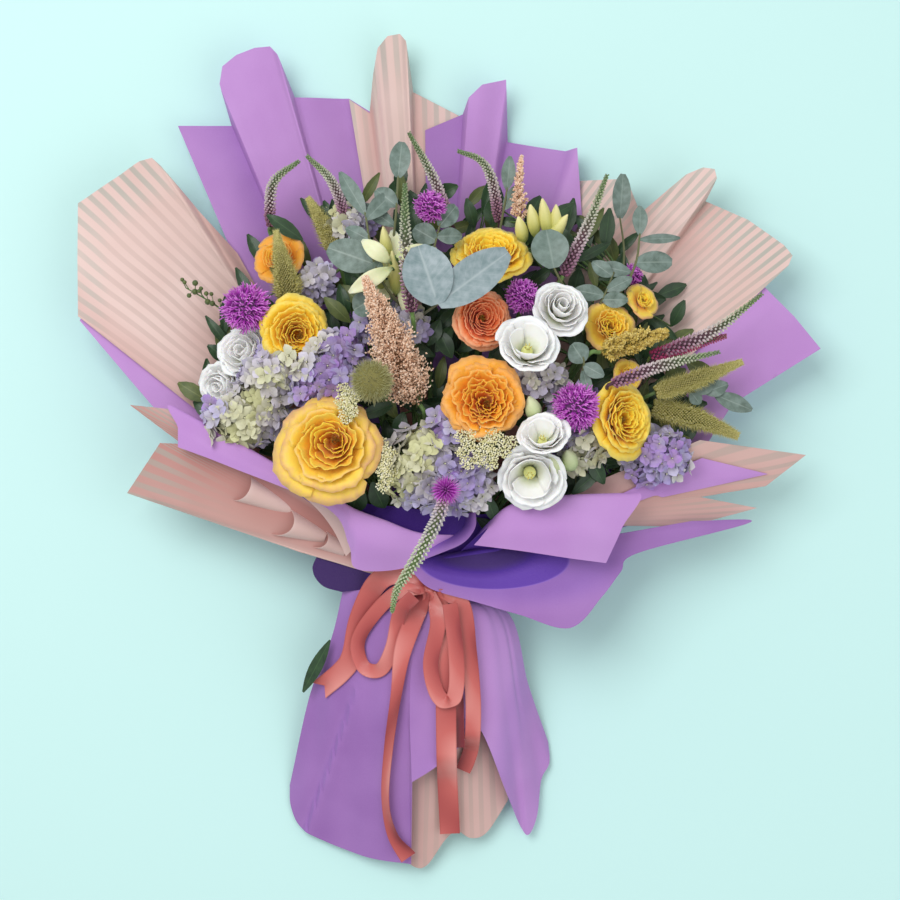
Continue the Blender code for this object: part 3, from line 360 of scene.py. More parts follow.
class Shader:
    """A Principled material built up node by node."""

    def __init__(self, name, roughness=0.6, **sockets):
        self.material = bpy.data.materials.new(name)
        self.material.use_nodes = True
        self.nodes = self.material.node_tree.nodes
        self.link = self.material.node_tree.links.new
        self.bsdf = self.nodes["Principled BSDF"]
        self.bsdf.inputs["Roughness"].default_value = roughness
        for key, value in sockets.items():
            self.bsdf.inputs[key.replace("_", " ")].default_value = value

    def mark(self, name):
        node = self.nodes.new("ShaderNodeAttribute")
        node.attribute_name = name
        return node.outputs["Fac"]

    def noise(self, scale, detail=3.0):
        node = self.nodes.new("ShaderNodeTexNoise")
        node.inputs["Scale"].default_value = scale
        node.inputs["Detail"].default_value = detail
        self.link(self.nodes.new("ShaderNodeTexCoord").outputs["Object"], node.inputs["Vector"])
        return node.outputs["Fac"]

    def ramp(self, value, stops, ease=False):
        """A colour by value. A stop's colour is a code, or a grey from 0 to 1."""
        node = self.nodes.new("ShaderNodeValToRGB")
        if ease:
            node.color_ramp.interpolation = "EASE"
        elements = node.color_ramp.elements
        while len(elements) < len(stops):
            elements.new(0.5)
        for element, (place, colour) in zip(elements, stops):
            element.position = place
            element.color = srgb(colour) if isinstance(colour, str) else (*[colour] * 3, 1.0)
        self.link(value, node.inputs["Fac"])
        return node.outputs["Color"]

    def math(self, operation, a, b=None, clamp=False):
        node = self.nodes.new("ShaderNodeMath")
        node.operation = operation
        node.use_clamp = clamp
        for socket, value in zip(node.inputs, (a, b)):
            if isinstance(value, (int, float)):
                socket.default_value = value
            elif value is not None:
                self.link(value, socket)
        return node.outputs[0]

    def times(self, a, b):
        return self.math("MULTIPLY", a, b)

    def plus(self, a, b):
        return self.math("ADD", a, b)

    def half_plus(self, value, share):
        """A share of the value added to a half, which is what the third input holds by itself."""
        return self.math("MULTIPLY_ADD", value, share)

    def wobble(self, value, fine, share):
        """The value moved by up to half this share either way."""
        return self.plus(value, self.times(self.math("SUBTRACT", fine, 0.5), share))

    def mix(self, share, a, b):
        node = self.nodes.new("ShaderNodeMix")
        node.data_type = "RGBA"
        for socket, value in ((node.inputs["Factor"], share), (node.inputs[6], a), (node.inputs[7], b)):
            if isinstance(value, (int, float)):
                socket.default_value = value
            elif isinstance(value, str):
                socket.default_value = srgb(value)
            else:
                self.link(value, socket)
        return node.outputs[2]

    def colour(self, value):
        self.link(value, self.bsdf.inputs["Base Color"])

    def bump(self, height, strength, distance):
        node = self.nodes.new("ShaderNodeBump")
        node.inputs["Strength"].default_value = strength
        node.inputs["Distance"].default_value = distance
        self.link(height, node.inputs["Height"])
        self.link(node.outputs["Normal"], self.bsdf.inputs["Normal"])
        return self.material

    def paper_bump(self, fibre, dents):
        """Fine fibre over broad shallow dents."""
        return self.bump(self.plus(fibre, self.times(self.noise(dents), 2.0)), 0.16, 0.0004)


def lilac_material():
    """Matt floral paper with painted shade: deeper and bluer inside its folds, duller where marked low, and a
    dark hollow where a sheet is dished.
    """
    s = Shader("lilac paper", 0.62, Sheen_Weight=0.03, Specular_IOR_Level=0.22)
    broad, deep, hollow = s.noise(14.0, 2.0), s.mark("deep"), s.mark("hollow")
    # lit is the paper in light; folded and shaded are painted shade, deep indigo in folds and a duller lilac
    # where low asks
    lit = s.ramp(broad, [(0.3, "BF8BCE"), (0.7, "CB9ADA")])
    folded = s.ramp(broad, [(0.3, "43179A"), (0.7, "5226AE")])
    shaded = s.ramp(broad, [(0.3, "9465AC"), (0.7, "A577BC")])
    colour = s.mix(deep, lit, folded)
    colour = s.mix(s.times(s.mark("low"), s.math("SUBTRACT", 1.0, deep, True)), colour, shaded)
    # Where deep is high, the painted shade goes almost to black-violet
    half = s.times(deep, 0.5)
    colour = s.mix(s.ramp(half, [(0.42, 0.0), (0.8, 1.0)]), colour, "1E0650")
    # The hollow: painted dark shade inside, with a lighter painted rim at its edge
    inside = s.ramp(half, [(0.24, "5E38AA"), (0.46, "44209A"), (0.76, "260A62")])
    rim = s.ramp(hollow, [(0.03, "9068C6"), (0.10, "5E38AA")])
    inside = s.mix(s.ramp(hollow, [(0.03, 1.0), (0.12, 0.0)]), inside, rim)
    colour = s.mix(s.ramp(hollow, [(0.0, 0.0), (0.03, 1.0)]), colour, inside)
    fibre = s.noise(2600.0, 2.0)
    s.colour(s.mix(0.10, colour, s.ramp(fibre, [(0.3, "8A58A8"), (0.7, "D8B0E8")])))
    s.link(s.half_plus(fibre, 0.2), s.bsdf.inputs["Roughness"])
    return s.paper_bump(fibre, 90.0)


def stripe_material():
    """Thin pinkish paper with soft grey stripes, and a painted rosy shade where the deep mark asks."""
    s = Shader("striped paper", 0.5, Sheen_Weight=0.1)
    phase = s.plus(s.mark("stripe"), s.times(s.noise(9.0, 2.0), 0.5))
    wave = s.math("SINE", s.times(phase, 2 * math.pi))
    line = s.ramp(s.half_plus(wave, 0.5), [(0.42, 0.0), (0.78, 1.0)], ease=True)
    strength = s.times(s.ramp(s.noise(7.0, 2.0), [(0.32, 0.35), (0.62, 1.0)]), s.mark("show"))
    broad = s.noise(11.0, 2.0)
    base = s.ramp(broad, [(0.3, "DFBDB4"), (0.7, "E8CBC3")])
    # rosy_shade is painted shade, rosy in tone
    rosy_shade = s.ramp(broad, [(0.3, "B4766E"), (0.7, "C48A82")])
    base = s.mix(s.mark("deep"), base, rosy_shade)
    grey = s.mix(s.ramp(s.mark("show"), [(0.35, 0.0), (0.8, 1.0)]), "BC9C92", "ABADA2")
    s.colour(s.mix(s.times(line, strength), base, grey))
    return s.paper_bump(s.noise(2200.0, 2.0), 70.0)


def ribbon_material():
    """Coral satin with a fine weave along its length, and a painted satin sheen of highlight and shade from
    the lit mark.
    """
    s = Shader("satin ribbon", 0.26, Sheen_Weight=0.3, Sheen_Roughness=0.3, Anisotropic=0.5)
    colour = s.ramp(s.mark("lit"), [(0.0, "7C2A34"), (0.25, "B65250"), (0.6, "D06A64"), (1.0, "F0A098")])
    s.colour(s.mix(s.ramp(s.mark("edge"), [(0.84, 0.0), (1.0, 0.5)]), colour, "A84A48"))
    return s.bump(s.math("SINE", s.times(s.mark("along"), 5200.0)), 0.12, 0.0001)


def petal_material(name, low, mid, rim, inner, rough=0.55, sheen=0.2):
    """Petals that change colour from root to rim and from outer tiers to inner ones."""
    s = Shader(name, rough, Sheen_Weight=sheen, Subsurface_Weight=0.12,
               Subsurface_Radius=(0.004, 0.002, 0.001), Subsurface_Scale=0.6)
    streak = s.noise(260.0)
    along = s.wobble(s.mark("along"), streak, 0.25)
    outer = s.ramp(along, [(0.0, low), (0.5, mid), (0.8, mid), (1.0, rim)])
    core = s.ramp(along, [(0.0, inner[0]), (0.6, inner[1]), (0.97, inner[2])])
    s.colour(s.mix(s.times(s.mark("vary"), 0.3), s.mix(s.mark("inner"), outer, core), mid))
    return s.bump(s.plus(s.noise(420.0), s.times(streak, 1.5)), 0.2, 0.0003)


def ramp_material(name, mark, stops, rough=0.6, other=None):
    """A material coloured by one mark, with a fine speckle, and by a second mark where other is given."""
    s = Shader(name, rough, Sheen_Weight=0.1)
    fine = s.noise(500.0)
    colour = s.ramp(s.wobble(s.mark(mark), fine, 0.2), stops)
    if other:
        second, more, share = other
        colour = s.mix(s.times(s.mark(second), share), colour, s.ramp(fine, more))
    s.colour(colour)
    return s.bump(fine, 0.3, 0.0004)


def leaf_material(name, base, pale, vein, rough=0.45):
    """A leaf with a pale midrib and side veins."""
    s = Shader(name, rough, Sheen_Weight=0.15)
    fine = s.noise(160.0)
    colour = s.ramp(fine, [(0.3, base), (0.7, pale)])
    off = s.math("ABSOLUTE", s.mark("across"))
    rib = s.ramp(off, [(0.0, 1.0), (0.09, 0.0)])
    wave = s.math("SINE", s.times(s.plus(s.times(s.mark("along"), 9.0), s.times(off, -2.2)), 2 * math.pi))
    side = s.times(s.ramp(wave, [(0.86, 0.0), (1.0, 1.0)]), 0.16)
    colour = s.mix(s.math("MAXIMUM", s.times(rib, 0.7), side), colour, vein)
    s.colour(s.mix(s.times(s.mark("vary"), 0.4), colour, pale))
    return s.bump(s.plus(s.times(side, -2.0), fine), 0.25, 0.0004)


# Papers

def back_height(x, y):
    """Height of the lowest back sheet: a scoop that leaves the tie and lies flat along its middle."""
    away = np.abs(y - NECK[1])
    half = 30.0 + 0.60 * away
    deep = 21.0 + (NECK_Z - 0.4 - 21.0) * smooth(away / 150.0)
    return np.maximum(NECK_Z - deep * np.exp(-1.1 * ((x - NECK[0]) / half) ** 2), FLAT_Z)


def layer_step(distance):
    """How far apart two neighbouring back sheets are at this distance from the tie."""
    return 1.35 + 2.4 * smooth(distance / 170.0)


def front_height(x, y):
    """Height of the front sheets' middle layer near the tie."""
    return 77.8 + 0.27 * (y - NECK[1]) - 0.0004 * (x - NECK[0]) ** 2


FRONT_STEP = 1.7
LILAC = lilac_material()
STRIPED = stripe_material()
RIBBON = ribbon_material()
paper_shapes = {}


def paper_piece(name, grid, material, marks):
    """A sheet of paper round this grid of points; marks hold one number for each grid point."""
    shape = blade(grid, PAPER)
    paper_shapes[name] = shape
    piece = Piece(name)
    piece.add(shape, 0, **{key: both(value) for key, value in marks.items()})
    piece.make([material])


BACK_ROWS = 32
EDGE_STEP = 5.0


def back_sheet(level, ends, rolls, painted_shades, start=3.0, lean=0.0, pitch=6.6):
    """A sheet of the back fan, as its grid of points and marks for its stripes and two kinds of painted
    shade.

    ends are plan points of its free edge. rolls lifts it and painted_shades paints shade near some of them,
    by number.
    start is how far from the tie it begins. lean turns its stripes, in degrees, and pitch is their distance.
    """
    rolls, painted_shades = rolls or {}, painted_shades or {}
    points = [at(px, py, 30) for px, py in ends]
    middle = np.mean([p[:2] for p in points], axis=0)
    stripes_ahead = turned(unit(middle - NECK[:2]), math.radians(lean))
    origin = NECK[:2] - stripes_ahead * 260.0
    grid, stripe, deep, painted_shade = [], [], [], []

    def rib(k, t):
        end = points[k] * (1 - t) + points[k + 1] * t
        bend = t * t * (3 - 2 * t)
        # dark is the painted shade near these ends
        lift, dark = (near.get(k, 0.0) * (1 - bend) + near.get(k + 1, 0.0) * bend for near in (rolls, painted_shades))
        ahead = unit((end - NECK)[:2])
        first = NECK[:2] + vec(12 * ahead[0], start)
        share = np.linspace(0, 1, BACK_ROWS)
        d = share * np.linalg.norm(end[:2] - first)
        xy = first + (end[:2] - first) * share[:, None]
        x, y = xy.T
        turn = math.atan2(ahead[0], ahead[1])
        flute = 1.1 * smooth(d / 260.0) * (math.sin(17 * turn + 0.6) + 0.5 * math.sin(31 * turn + 2.0))
        soft = 0.5 * smooth(d / 120.0) * ripple(x, y, 60.0)
        near_edge = np.maximum(share - 0.55, 0) / 0.45
        z = back_height(x, y) + CAD_PAPER / 2 + level * layer_step(d) + lift * near_edge ** 1.6
        z = z + np.where(z > FLAT_Z + 1.2, np.maximum(flute + soft, -0.8), 0.0)
        grid.append(np.column_stack([xy, z]))
        from_origin = xy - origin
        angle = np.arctan2(from_origin[:, 0] * stripes_ahead[1] - from_origin[:, 1] * stripes_ahead[0],
                           from_origin @ stripes_ahead)
        stripe.append(angle * 420.0 / pitch)
        # Painted shade, strongest towards the tie
        deep.append(1 - smooth((share - 0.34) / 0.42))
        painted_shade.append(np.full(BACK_ROWS, dark))

    for k in range(len(points) - 1):
        n = max(3, int(np.linalg.norm(points[k + 1] - points[k]) / EDGE_STEP))
        for i in range(n):
            rib(k, i / n)
    rib(len(points) - 2, 1.0)
    return np.array(grid), np.array(stripe), np.array(deep), np.array(painted_shade)


def lilac_back(name, level, ends, rolls=None, painted_shades=None, low=0.0, **options):
    grid, _, deep, painted_shade = back_sheet(level, ends, rolls, painted_shades, **options)
    # Painted shade: deep towards the tie, painted_shade near some ends, and low all over
    paper_piece(name, grid, LILAC, {"deep": deep * 0.55, "low": np.clip(low + painted_shade, 0, 1)})


def striped_back(name, level, ends, rolls=None, painted_shades=None, strong=0.5, **options):
    grid, stripe, deep, painted_shade = back_sheet(level, ends, rolls, painted_shades, **options)
    edge = smooth((np.linspace(0, 1, BACK_ROWS) - 0.9) / 0.06)
    # The stripes fade under painted shade, and the paper turns to its rosy shade there
    show = (strong + (0.9 - strong) * edge) * (1 - deep) ** 1.3 * (1 - 0.6 * painted_shade)
    paper_piece(name, grid, STRIPED,
                {"stripe": stripe, "deep": deep * 0.9 + painted_shade, "show": show})


# After its lifts, a sheet may list painted shade near some of its ends, by number; low on skirt_back is
# painted shade all over
lilac_back("lilac_right", 0,
           [(640, 520), (700, 450), (735, 395), (816, 350), (790, 318), (760, 288), (690, 240), (585, 300)])
striped_back("stripe_back_right", 1,
             [(757, 287), (784, 268), (788, 258), (780, 248), (745, 222), (704, 203), (713, 182), (711, 173),
              (700, 171), (684, 177), (640, 214), (626, 180), (575, 180), (535, 240)],
             {6: 20, 7: 20, 8: 18, 9: 12, 11: 8}, {0: 0.2, 5: 0.35, 10: 0.4}, strong=0.62, lean=-25.0,
             pitch=4.8)
lilac_back("lilac_back_left", 0,
           [(178, 432), (130, 376), (84, 322), (150, 210), (238, 266), (178, 126), (231, 125), (221, 86),
            (224, 69), (238, 58), (256, 51), (271, 49), (278, 56), (294, 96), (348, 95), (369, 108),
            (425, 140), (478, 150)],
           {7: 22, 8: 26, 9: 30, 10: 33, 11: 32, 12: 28, 13: 8}, painted_shades={5: 0.3, 6: 0.85, 13: 0.25, 14: 0.3})
lilac_back("lilac_back_right", 2,
           [(425, 128), (463, 112), (469, 98), (482, 86), (506, 80), (508, 140), (542, 146), (566, 150),
            (577, 148), (582, 215)],
           {2: 22, 3: 26, 4: 20, 8: 10}, painted_shades={0: 0.8, 1: 0.6, 5: 0.7, 6: 0.4, 7: 0.5})
striped_back("stripe_back", 1,
             [(348, 96), (369, 110), (373, 72), (378, 48), (388, 38), (400, 36), (406, 42), (413, 90),
              (440, 103), (465, 116)],
             {2: 12, 3: 24, 4: 34, 5: 34, 6: 28, 7: 6}, {1: 0.5, 7: 0.4})
striped_back("stripe_left", 1,
             [(120, 345), (83, 318), (82, 262), (82, 206), (120, 181), (144, 165), (156, 162), (165, 170),
              (200, 212), (238, 254)],
             {4: 8, 5: 18, 6: 22, 7: 20, 8: 8}, {0: 0.45, 1: 0.35, 8: 0.4, 9: 0.5}, strong=0.4, lean=20.0)
lilac_back("skirt_back", 0,
           [(345, 770), (345, 805), (378, 832), (412, 842), (450, 836), (490, 806), (500, 770)], start=-8.0,
           low=0.6)


class Layer(float):
    """A height counted in front layers, not in millimetres."""


def on_layer(layer, ribs):
    """Ribs that start at the tie, at their first px, and lie on this layer wherever a point has no height."""
    level = Layer(layer)
    return [[(first, NECK_PY, level)] + [(*p, level)[:3] for p in rest] for first, *rest in ribs]


def rib_line(rib, along):
    """Points along a rib of (px, py, height), on the front layers between two points that lie on one."""
    layers = [z if isinstance(z, Layer) else None for _, _, z in rib]
    points = []
    for (px, py, z), layer in zip(rib, layers):
        if layer is not None:
            x, y, _ = at(px, py, TRUE_HEIGHT)
            z = front_height(x, y) + FRONT_STEP * layer
        points.append(at(px, py, z))
    line = curve(points, along)
    for p, place in zip(line, np.arange(along) * (len(rib) - 1) / (along - 1)):
        k = min(int(place), len(rib) - 2)
        before, after = layers[k : k + 2]
        if before is None or (after is None and place > k):
            continue
        after = before if after is None else after
        p[2] = front_height(p[0], p[1]) + FRONT_STEP * (before + (after - before) * (place - k))
    return line


def rib_grid(ribs, along=36, between=8, bend=False):
    """Points of a sheet over ribs, which lies straight or bent between them."""
    lines = np.array([rib_line(rib, along) for rib in ribs])
    spread = curve if bend else linear
    count = (len(ribs) - 1) * between + 1
    return np.array([spread(lines[:, j], count) for j in range(along)]).transpose(1, 0, 2)


def shares_along(grid):
    return np.tile(np.linspace(0, 1, grid.shape[1]), (grid.shape[0], 1))


def in_ellipse(px, py, ellipse):
    """1 in its middle, 0 on its edge, and less outside."""
    cx, cy, rx, ry = ellipse
    return 1 - ((px - cx) / rx) ** 2 - ((py - cy) / ry) ** 2


def lilac_front(name, grid, deep_until=0.0, low=0.0, bowls=(), hollow=None, shade=0.0):
    """A lilac sheet in front, in painted shade from the tie to deep_until along its ribs, and in its bowls.

    bowls lists dished places as (ellipse, sink, painted shade). hollow is an ellipse of painted dark shade,
    clear-edged.
    """
    share = shares_along(grid)
    # deep, shade, low and each bowl's dark are all painted shade
    deep = 1 - smooth((share - deep_until) / 0.22) if deep_until else np.zeros(share.shape)
    deep = np.maximum(deep, shade)
    px, py = plan_of(grid)
    marks = {"low": np.broadcast_to(low, deep.shape)}
    if hollow:
        marks["hollow"] = np.clip(in_ellipse(px, py, hollow), -1, 1)
    for ellipse, sink, dark in bowls:
        inside = smooth((in_ellipse(px, py, ellipse) + 0.2) / 0.9) * smooth((share - 0.36) / 0.12)
        grid[..., 2] -= sink * inside
        deep = np.maximum(deep, inside * dark)
    paper_piece(name, grid, LILAC, {"deep": deep, **marks})


def striped_front(name, grid, stripes, rosy_shade_by_side, fade, bias=1.0):
    """A striped sheet in front.

    rosy_shade_by_side is how much painted rosy shade it has at its sides and between them, and bias moves
    that across. fade is how much its stripes show, where along the ribs they start, and over what share they
    grow.
    """
    share = shares_along(grid)
    across = np.linspace(0, 1, grid.shape[0])[:, None] * np.ones(grid.shape[1])
    # rosy_shade is painted shade, rosy in tone, with more of it towards the tie
    rosy_shade = rosy_shade_by_side[0] + (rosy_shade_by_side[1] - rosy_shade_by_side[0]) * np.sin(math.pi * across ** bias) + 0.2 * (1 - share)
    show = fade[0] * smooth((share - fade[1]) / fade[2])
    paper_piece(name, grid, STRIPED,
                {"stripe": across * stripes, "deep": rosy_shade, "show": show})


# The liner shows only in shaded gaps: painted shade all over, darkest in a bowl at its left corner
lilac_front("lilac_liner", rib_grid(on_layer(-1, [
    [421, (418, 583), (374, 588, Layer(-1.3)), (342, 592, Layer(-2))],
    [421, (418, 581), (370, 580, Layer(-1.3)), (323, 586, Layer(-2))],
    [422, (418, 578), (366, 572, Layer(-1.3)), (313, 572, Layer(-2.1))],
    [422, (418, 576), (365, 566, Layer(-1.3)), (317, 556, Layer(-2.2))],
    [423, (405, 565), (375, 540, Layer(-1.5)), (345, 508, Layer(-2.2))],
    [427, (420, 568), (405, 545), (390, 506)],
    [430, (431, 568), (435, 545), (440, 512)],
    [433, (444, 568), (465, 550), (490, 514)],
    [437, (458, 568), (500, 550), (560, 508)],
    [439, (465, 568), (520, 560), (600, 524)]]), bend=True),
            deep_until=2.0, bowls=[((330, 576, 52, 34), 0.0, 1.7)])
# Strong painted rosy shade between its sides: the lower left sheet lies mostly in shade
striped_front("stripe_low_left", rib_grid(on_layer(0, [
    [420, (416, 580), (380, 576), (346, 564)],
    [420, (416, 579), (370, 572), (300, 552)],
    [421, (412, 578), (300, 545), (127, 493)],
    [421, (412, 576), (300, 520), (160, 443)],
    [422, (412, 574), (300, 505), (182, 444)],
    [422, (412, 572), (290, 495), (130, 405)],
    [423, (412, 570), (300, 490), (178, 410)]])), 27.0, (0.15, 1.1), (0.75, 0.76, 0.2), bias=1.7)
striped_front("stripe_low_right", rib_grid(on_layer(0, [
    [433, (560, 500), (700, 440)],
    [434, (590, 505), (806, 455)],
    [435, (590, 512), (766, 486)],
    [436, (585, 518), (700, 497)],
    [437, (575, 526), (757, 508)],
    [438, (570, 532), (690, 526)]])), 12.0, (0.3, 0.6), (0.6, 0.6, 0.4))
# The collar and the flap are in painted shade where they run back under, towards the tie
lilac_front("lilac_collar", rib_grid(on_layer(1, [
    [426, (440, 560), (458, 536, 108), (454, 543, 110), (444, 549, 110)],
    [426, (425, 560), (420, 533, 120), (412, 548, 124), (404, 568, 116)],
    [425, (410, 555), (385, 520, 124), (368, 540, 130), (357, 569, 114)],
    [425, (400, 550), (360, 511, 126), (352, 525, 130), (349, 545, 119)],
    [424, (390, 548), (342, 502, 125), (334, 504, 127), (327, 508, 123)],
    [423, (340, 520), (245, 446, 112), (235, 458, 114), (228, 466, 112)],
    [422, (320, 510), (178, 409, 106), (178, 428, 108), (178, 447, 106)]]), bend=True), deep_until=0.34)
lilac_front("lilac_flap", rib_grid(on_layer(2, [
    [431, (452, 560), (487, 528, 120), (482, 536, 124), (474, 545, 122)],
    [432, (462, 555), (510, 505, 126), (515, 528, 130), (522, 551, 123)],
    [433, (480, 548), (560, 496, 124), (565, 527, 128), (568, 558, 119)],
    [434, (500, 545), (634, 493, 113), (622, 528, 117), (606, 563, 108)]]), bend=True), deep_until=0.34)
lilac_front("lilac_fold_right", rib_grid(on_layer(1, [
    [434, (520, 548), (640, 500), (664, 497)],
    [435, (530, 545), (680, 487), (768, 474)],
    [434, (530, 540), (650, 480), (702, 458)]])))
# The lip: a painted shaded tone (low), painted shade in its bowls, and a painted dark hollow
lilac_front("lilac_lip", rib_grid(on_layer(3, [
    [424, (424, 572), (420, 560, 106), (416, 566, 109), (413, 573, 108)],
    [426, (430, 570), (436, 556, 107), (434, 572, 109), (431, 589, 106)],
    [428, (442, 568), (462, 552, 108), (468, 576, 109), (475, 602, 104)],
    [430, (452, 566), (492, 549, 108), (505, 580, 108), (520, 615, 102)],
    [432, (462, 566), (522, 546, 106), (545, 585, 104), (570, 628, 96)],
    [434, (470, 566), (548, 544, 102), (575, 568, 100), (602, 597, 92)],
    [435, (474, 566), (560, 543, 99), (590, 557, 96), (621, 572, 88)],
    [436, (478, 566), (572, 542, 97), (605, 546, 92), (638, 553, 84)],
    [436, (482, 566), (574, 541, 96), (616, 538, 90), (751, 522, 74)],
    [436, (484, 566), (576, 540, 95), (606, 536, 91), (692, 521, 84)]]), along=64, between=9, bend=True),
            deep_until=0.36, low=0.8, bowls=[((520, 562, 128, 52), 5.0, 0.55),
                                             ((482, 550, 66, 28), 7.0, 1.5)], hollow=(494, 560, 77, 30))

SKIRT_LEFT = [
    [(346, 573, 68), (341, 600, 60), (331, 640, 50), (310, 695, 30), (290, 785, 7)],
    [(352, 574, 71), (347, 600, 64), (338, 645, 54), (320, 710, 34), (291, 806, 7)],
    [(360, 575, 73), (354, 601, 68), (344, 648, 57), (329, 716, 39), (301, 827, 8)],
    [(372, 576, 76), (363, 602, 72), (354, 650, 60), (345, 720, 46), (326, 841, 10)],
    [(398, 582, 81), (392, 612, 80), (386, 655, 74), (378, 725, 60), (368, 857, 18)],
    [(427, 597, 80.5), (426, 607, 83), (412, 616, 88), (409, 720, 70), (411, 864, 26)]]
SKIRT_RIGHT = [
    [(428, 597, 81), (428, 607, 83), (418, 616, 88), (410, 690, 78), (412, 782, 62)],
    [(430, 597, 81), (430, 607, 83), (431, 616, 89), (432, 690, 79), (434, 768, 65)],
    [(432, 597, 81), (432, 607, 83), (448, 616, 88), (456, 690, 78), (460, 746, 68)],
    [(433, 597, 81), (434, 607, 82.5), (462, 617, 86), (472, 680, 77), (479, 728, 68)],
    [(435, 597, 80.5), (440, 603, 81), (482, 613, 79), (496, 700, 64), (507, 794, 40)],
    [(436, 597, 79.8), (443, 601, 80.2), (490, 613, 73), (507, 706, 54), (521, 827, 16)],
    [(437, 597, 79.5), (445, 600.5, 79.8), (496, 613, 69), (515, 705, 47), (529, 834, 14)],
    [(438, 597, 79), (446, 600, 79.5), (499, 613, 65), (518, 704, 42), (537, 815, 13)],
    [(439, 597, 78.7), (447, 600, 79), (502, 613, 62), (522, 701, 38), (541, 780, 11)],
    [(440, 597, 78), (449, 599, 78), (505, 613, 57), (526, 694, 32), (549, 763, 8)],
    [(441, 597, 77), (450, 598, 77), (508, 613, 52), (528, 684, 28), (548, 742, 6)]]

SKIRT_ALONG = 56
folds = np.concatenate([rib_grid(ribs, SKIRT_ALONG, bend=True) for ribs in (SKIRT_LEFT, SKIRT_RIGHT)])
skirt_x, skirt_y = plan_of(folds)
down = np.linspace(0, 1, SKIRT_ALONG)
pleat = (np.sin(skirt_x * 0.11 + skirt_y * 0.012) + 0.6 * np.sin(skirt_x * 0.23 - skirt_y * 0.01 + 2.0)
         + 0.5 * ripple(folds[..., 0], folds[..., 1], 30.0))
folds[..., 2] += 1.2 * pleat * smooth(down / 0.3) * (1 - 0.4 * down) + 1.6

# A slanting line down the skirt, where one fold lies over the other, with a ledge and painted shade along the
# crease
off_line = skirt_x - (352 - 0.36 * (skirt_y - 700))
folds[..., 2] += np.where(off_line > 0, 4.2 * np.exp(-off_line / 14.0), 0.0) * smooth((skirt_y - 640) / 80)
crease = np.exp(-(off_line / 5.0) ** 2) * smooth((skirt_y - 650) / 60)
# soft paints faint bands of shade for soft folds on the upper skirt
soft = 0.12 * smooth(np.sin(skirt_x * 0.085 + skirt_y * 0.02)) * smooth((skirt_y - 600) / 40)
# The left of the skirt gets more painted shade (low) than the right
lilac_front("skirt_front", folds, low=0.95 - 0.75 * smooth((skirt_x - 370) / 90), shade=0.42 * crease + soft)
striped_front("skirt_stripe", rib_grid([
    [(421, 607, 73), (396, 625, 61), (384, 700, 54), (395, 848, 18)],
    [(423, 607, 74), (410, 625, 70), (408, 700, 64), (413, 866, 17)],
    [(428, 607, 76), (430, 622, 78), (430, 700, 68), (427, 865, 17)],
    [(431, 607, 76), (440, 622, 78), (443, 700, 68), (445, 840, 22)],
    [(433, 607, 76), (450, 622, 77), (455, 700, 66), (457, 831, 24)],
    [(435, 607, 75), (458, 625, 71), (466, 700, 63), (471, 838, 20)],
    [(437, 607, 74), (466, 625, 64), (482, 700, 56), (487, 832, 18)],
    [(439, 607, 73), (474, 627, 54), (498, 700, 44), (508, 800, 19)]], bend=True),
              11.0, (0.42, 0.42), (0.5, 0.1, 0.3))



# Blooms. FEET gathers where a stem must end, and its direction there, while the pieces are made.

FEET = []


def knob(piece, hub, slot, rise=3.4, radius=3.2):
    """A small knob over a stem of its own, where a piece's stalks part."""
    FEET.append((at(*hub), UP))
    middle = at(*hub) + UP * rise
    piece.add(ball(middle, radius), slot)
    return middle


def stalks(piece, ends, hub, slot=1):
    """Stalks that join these feet to a knob."""
    middle = knob(piece, hub, slot)
    for foot, axis in ends:
        line = curve([foot + axis * 4, foot - axis * 4, foot - axis * 9 + (middle - foot) * 0.3, middle], 8)
        piece.add(tube(line, 1.7, 7), slot)


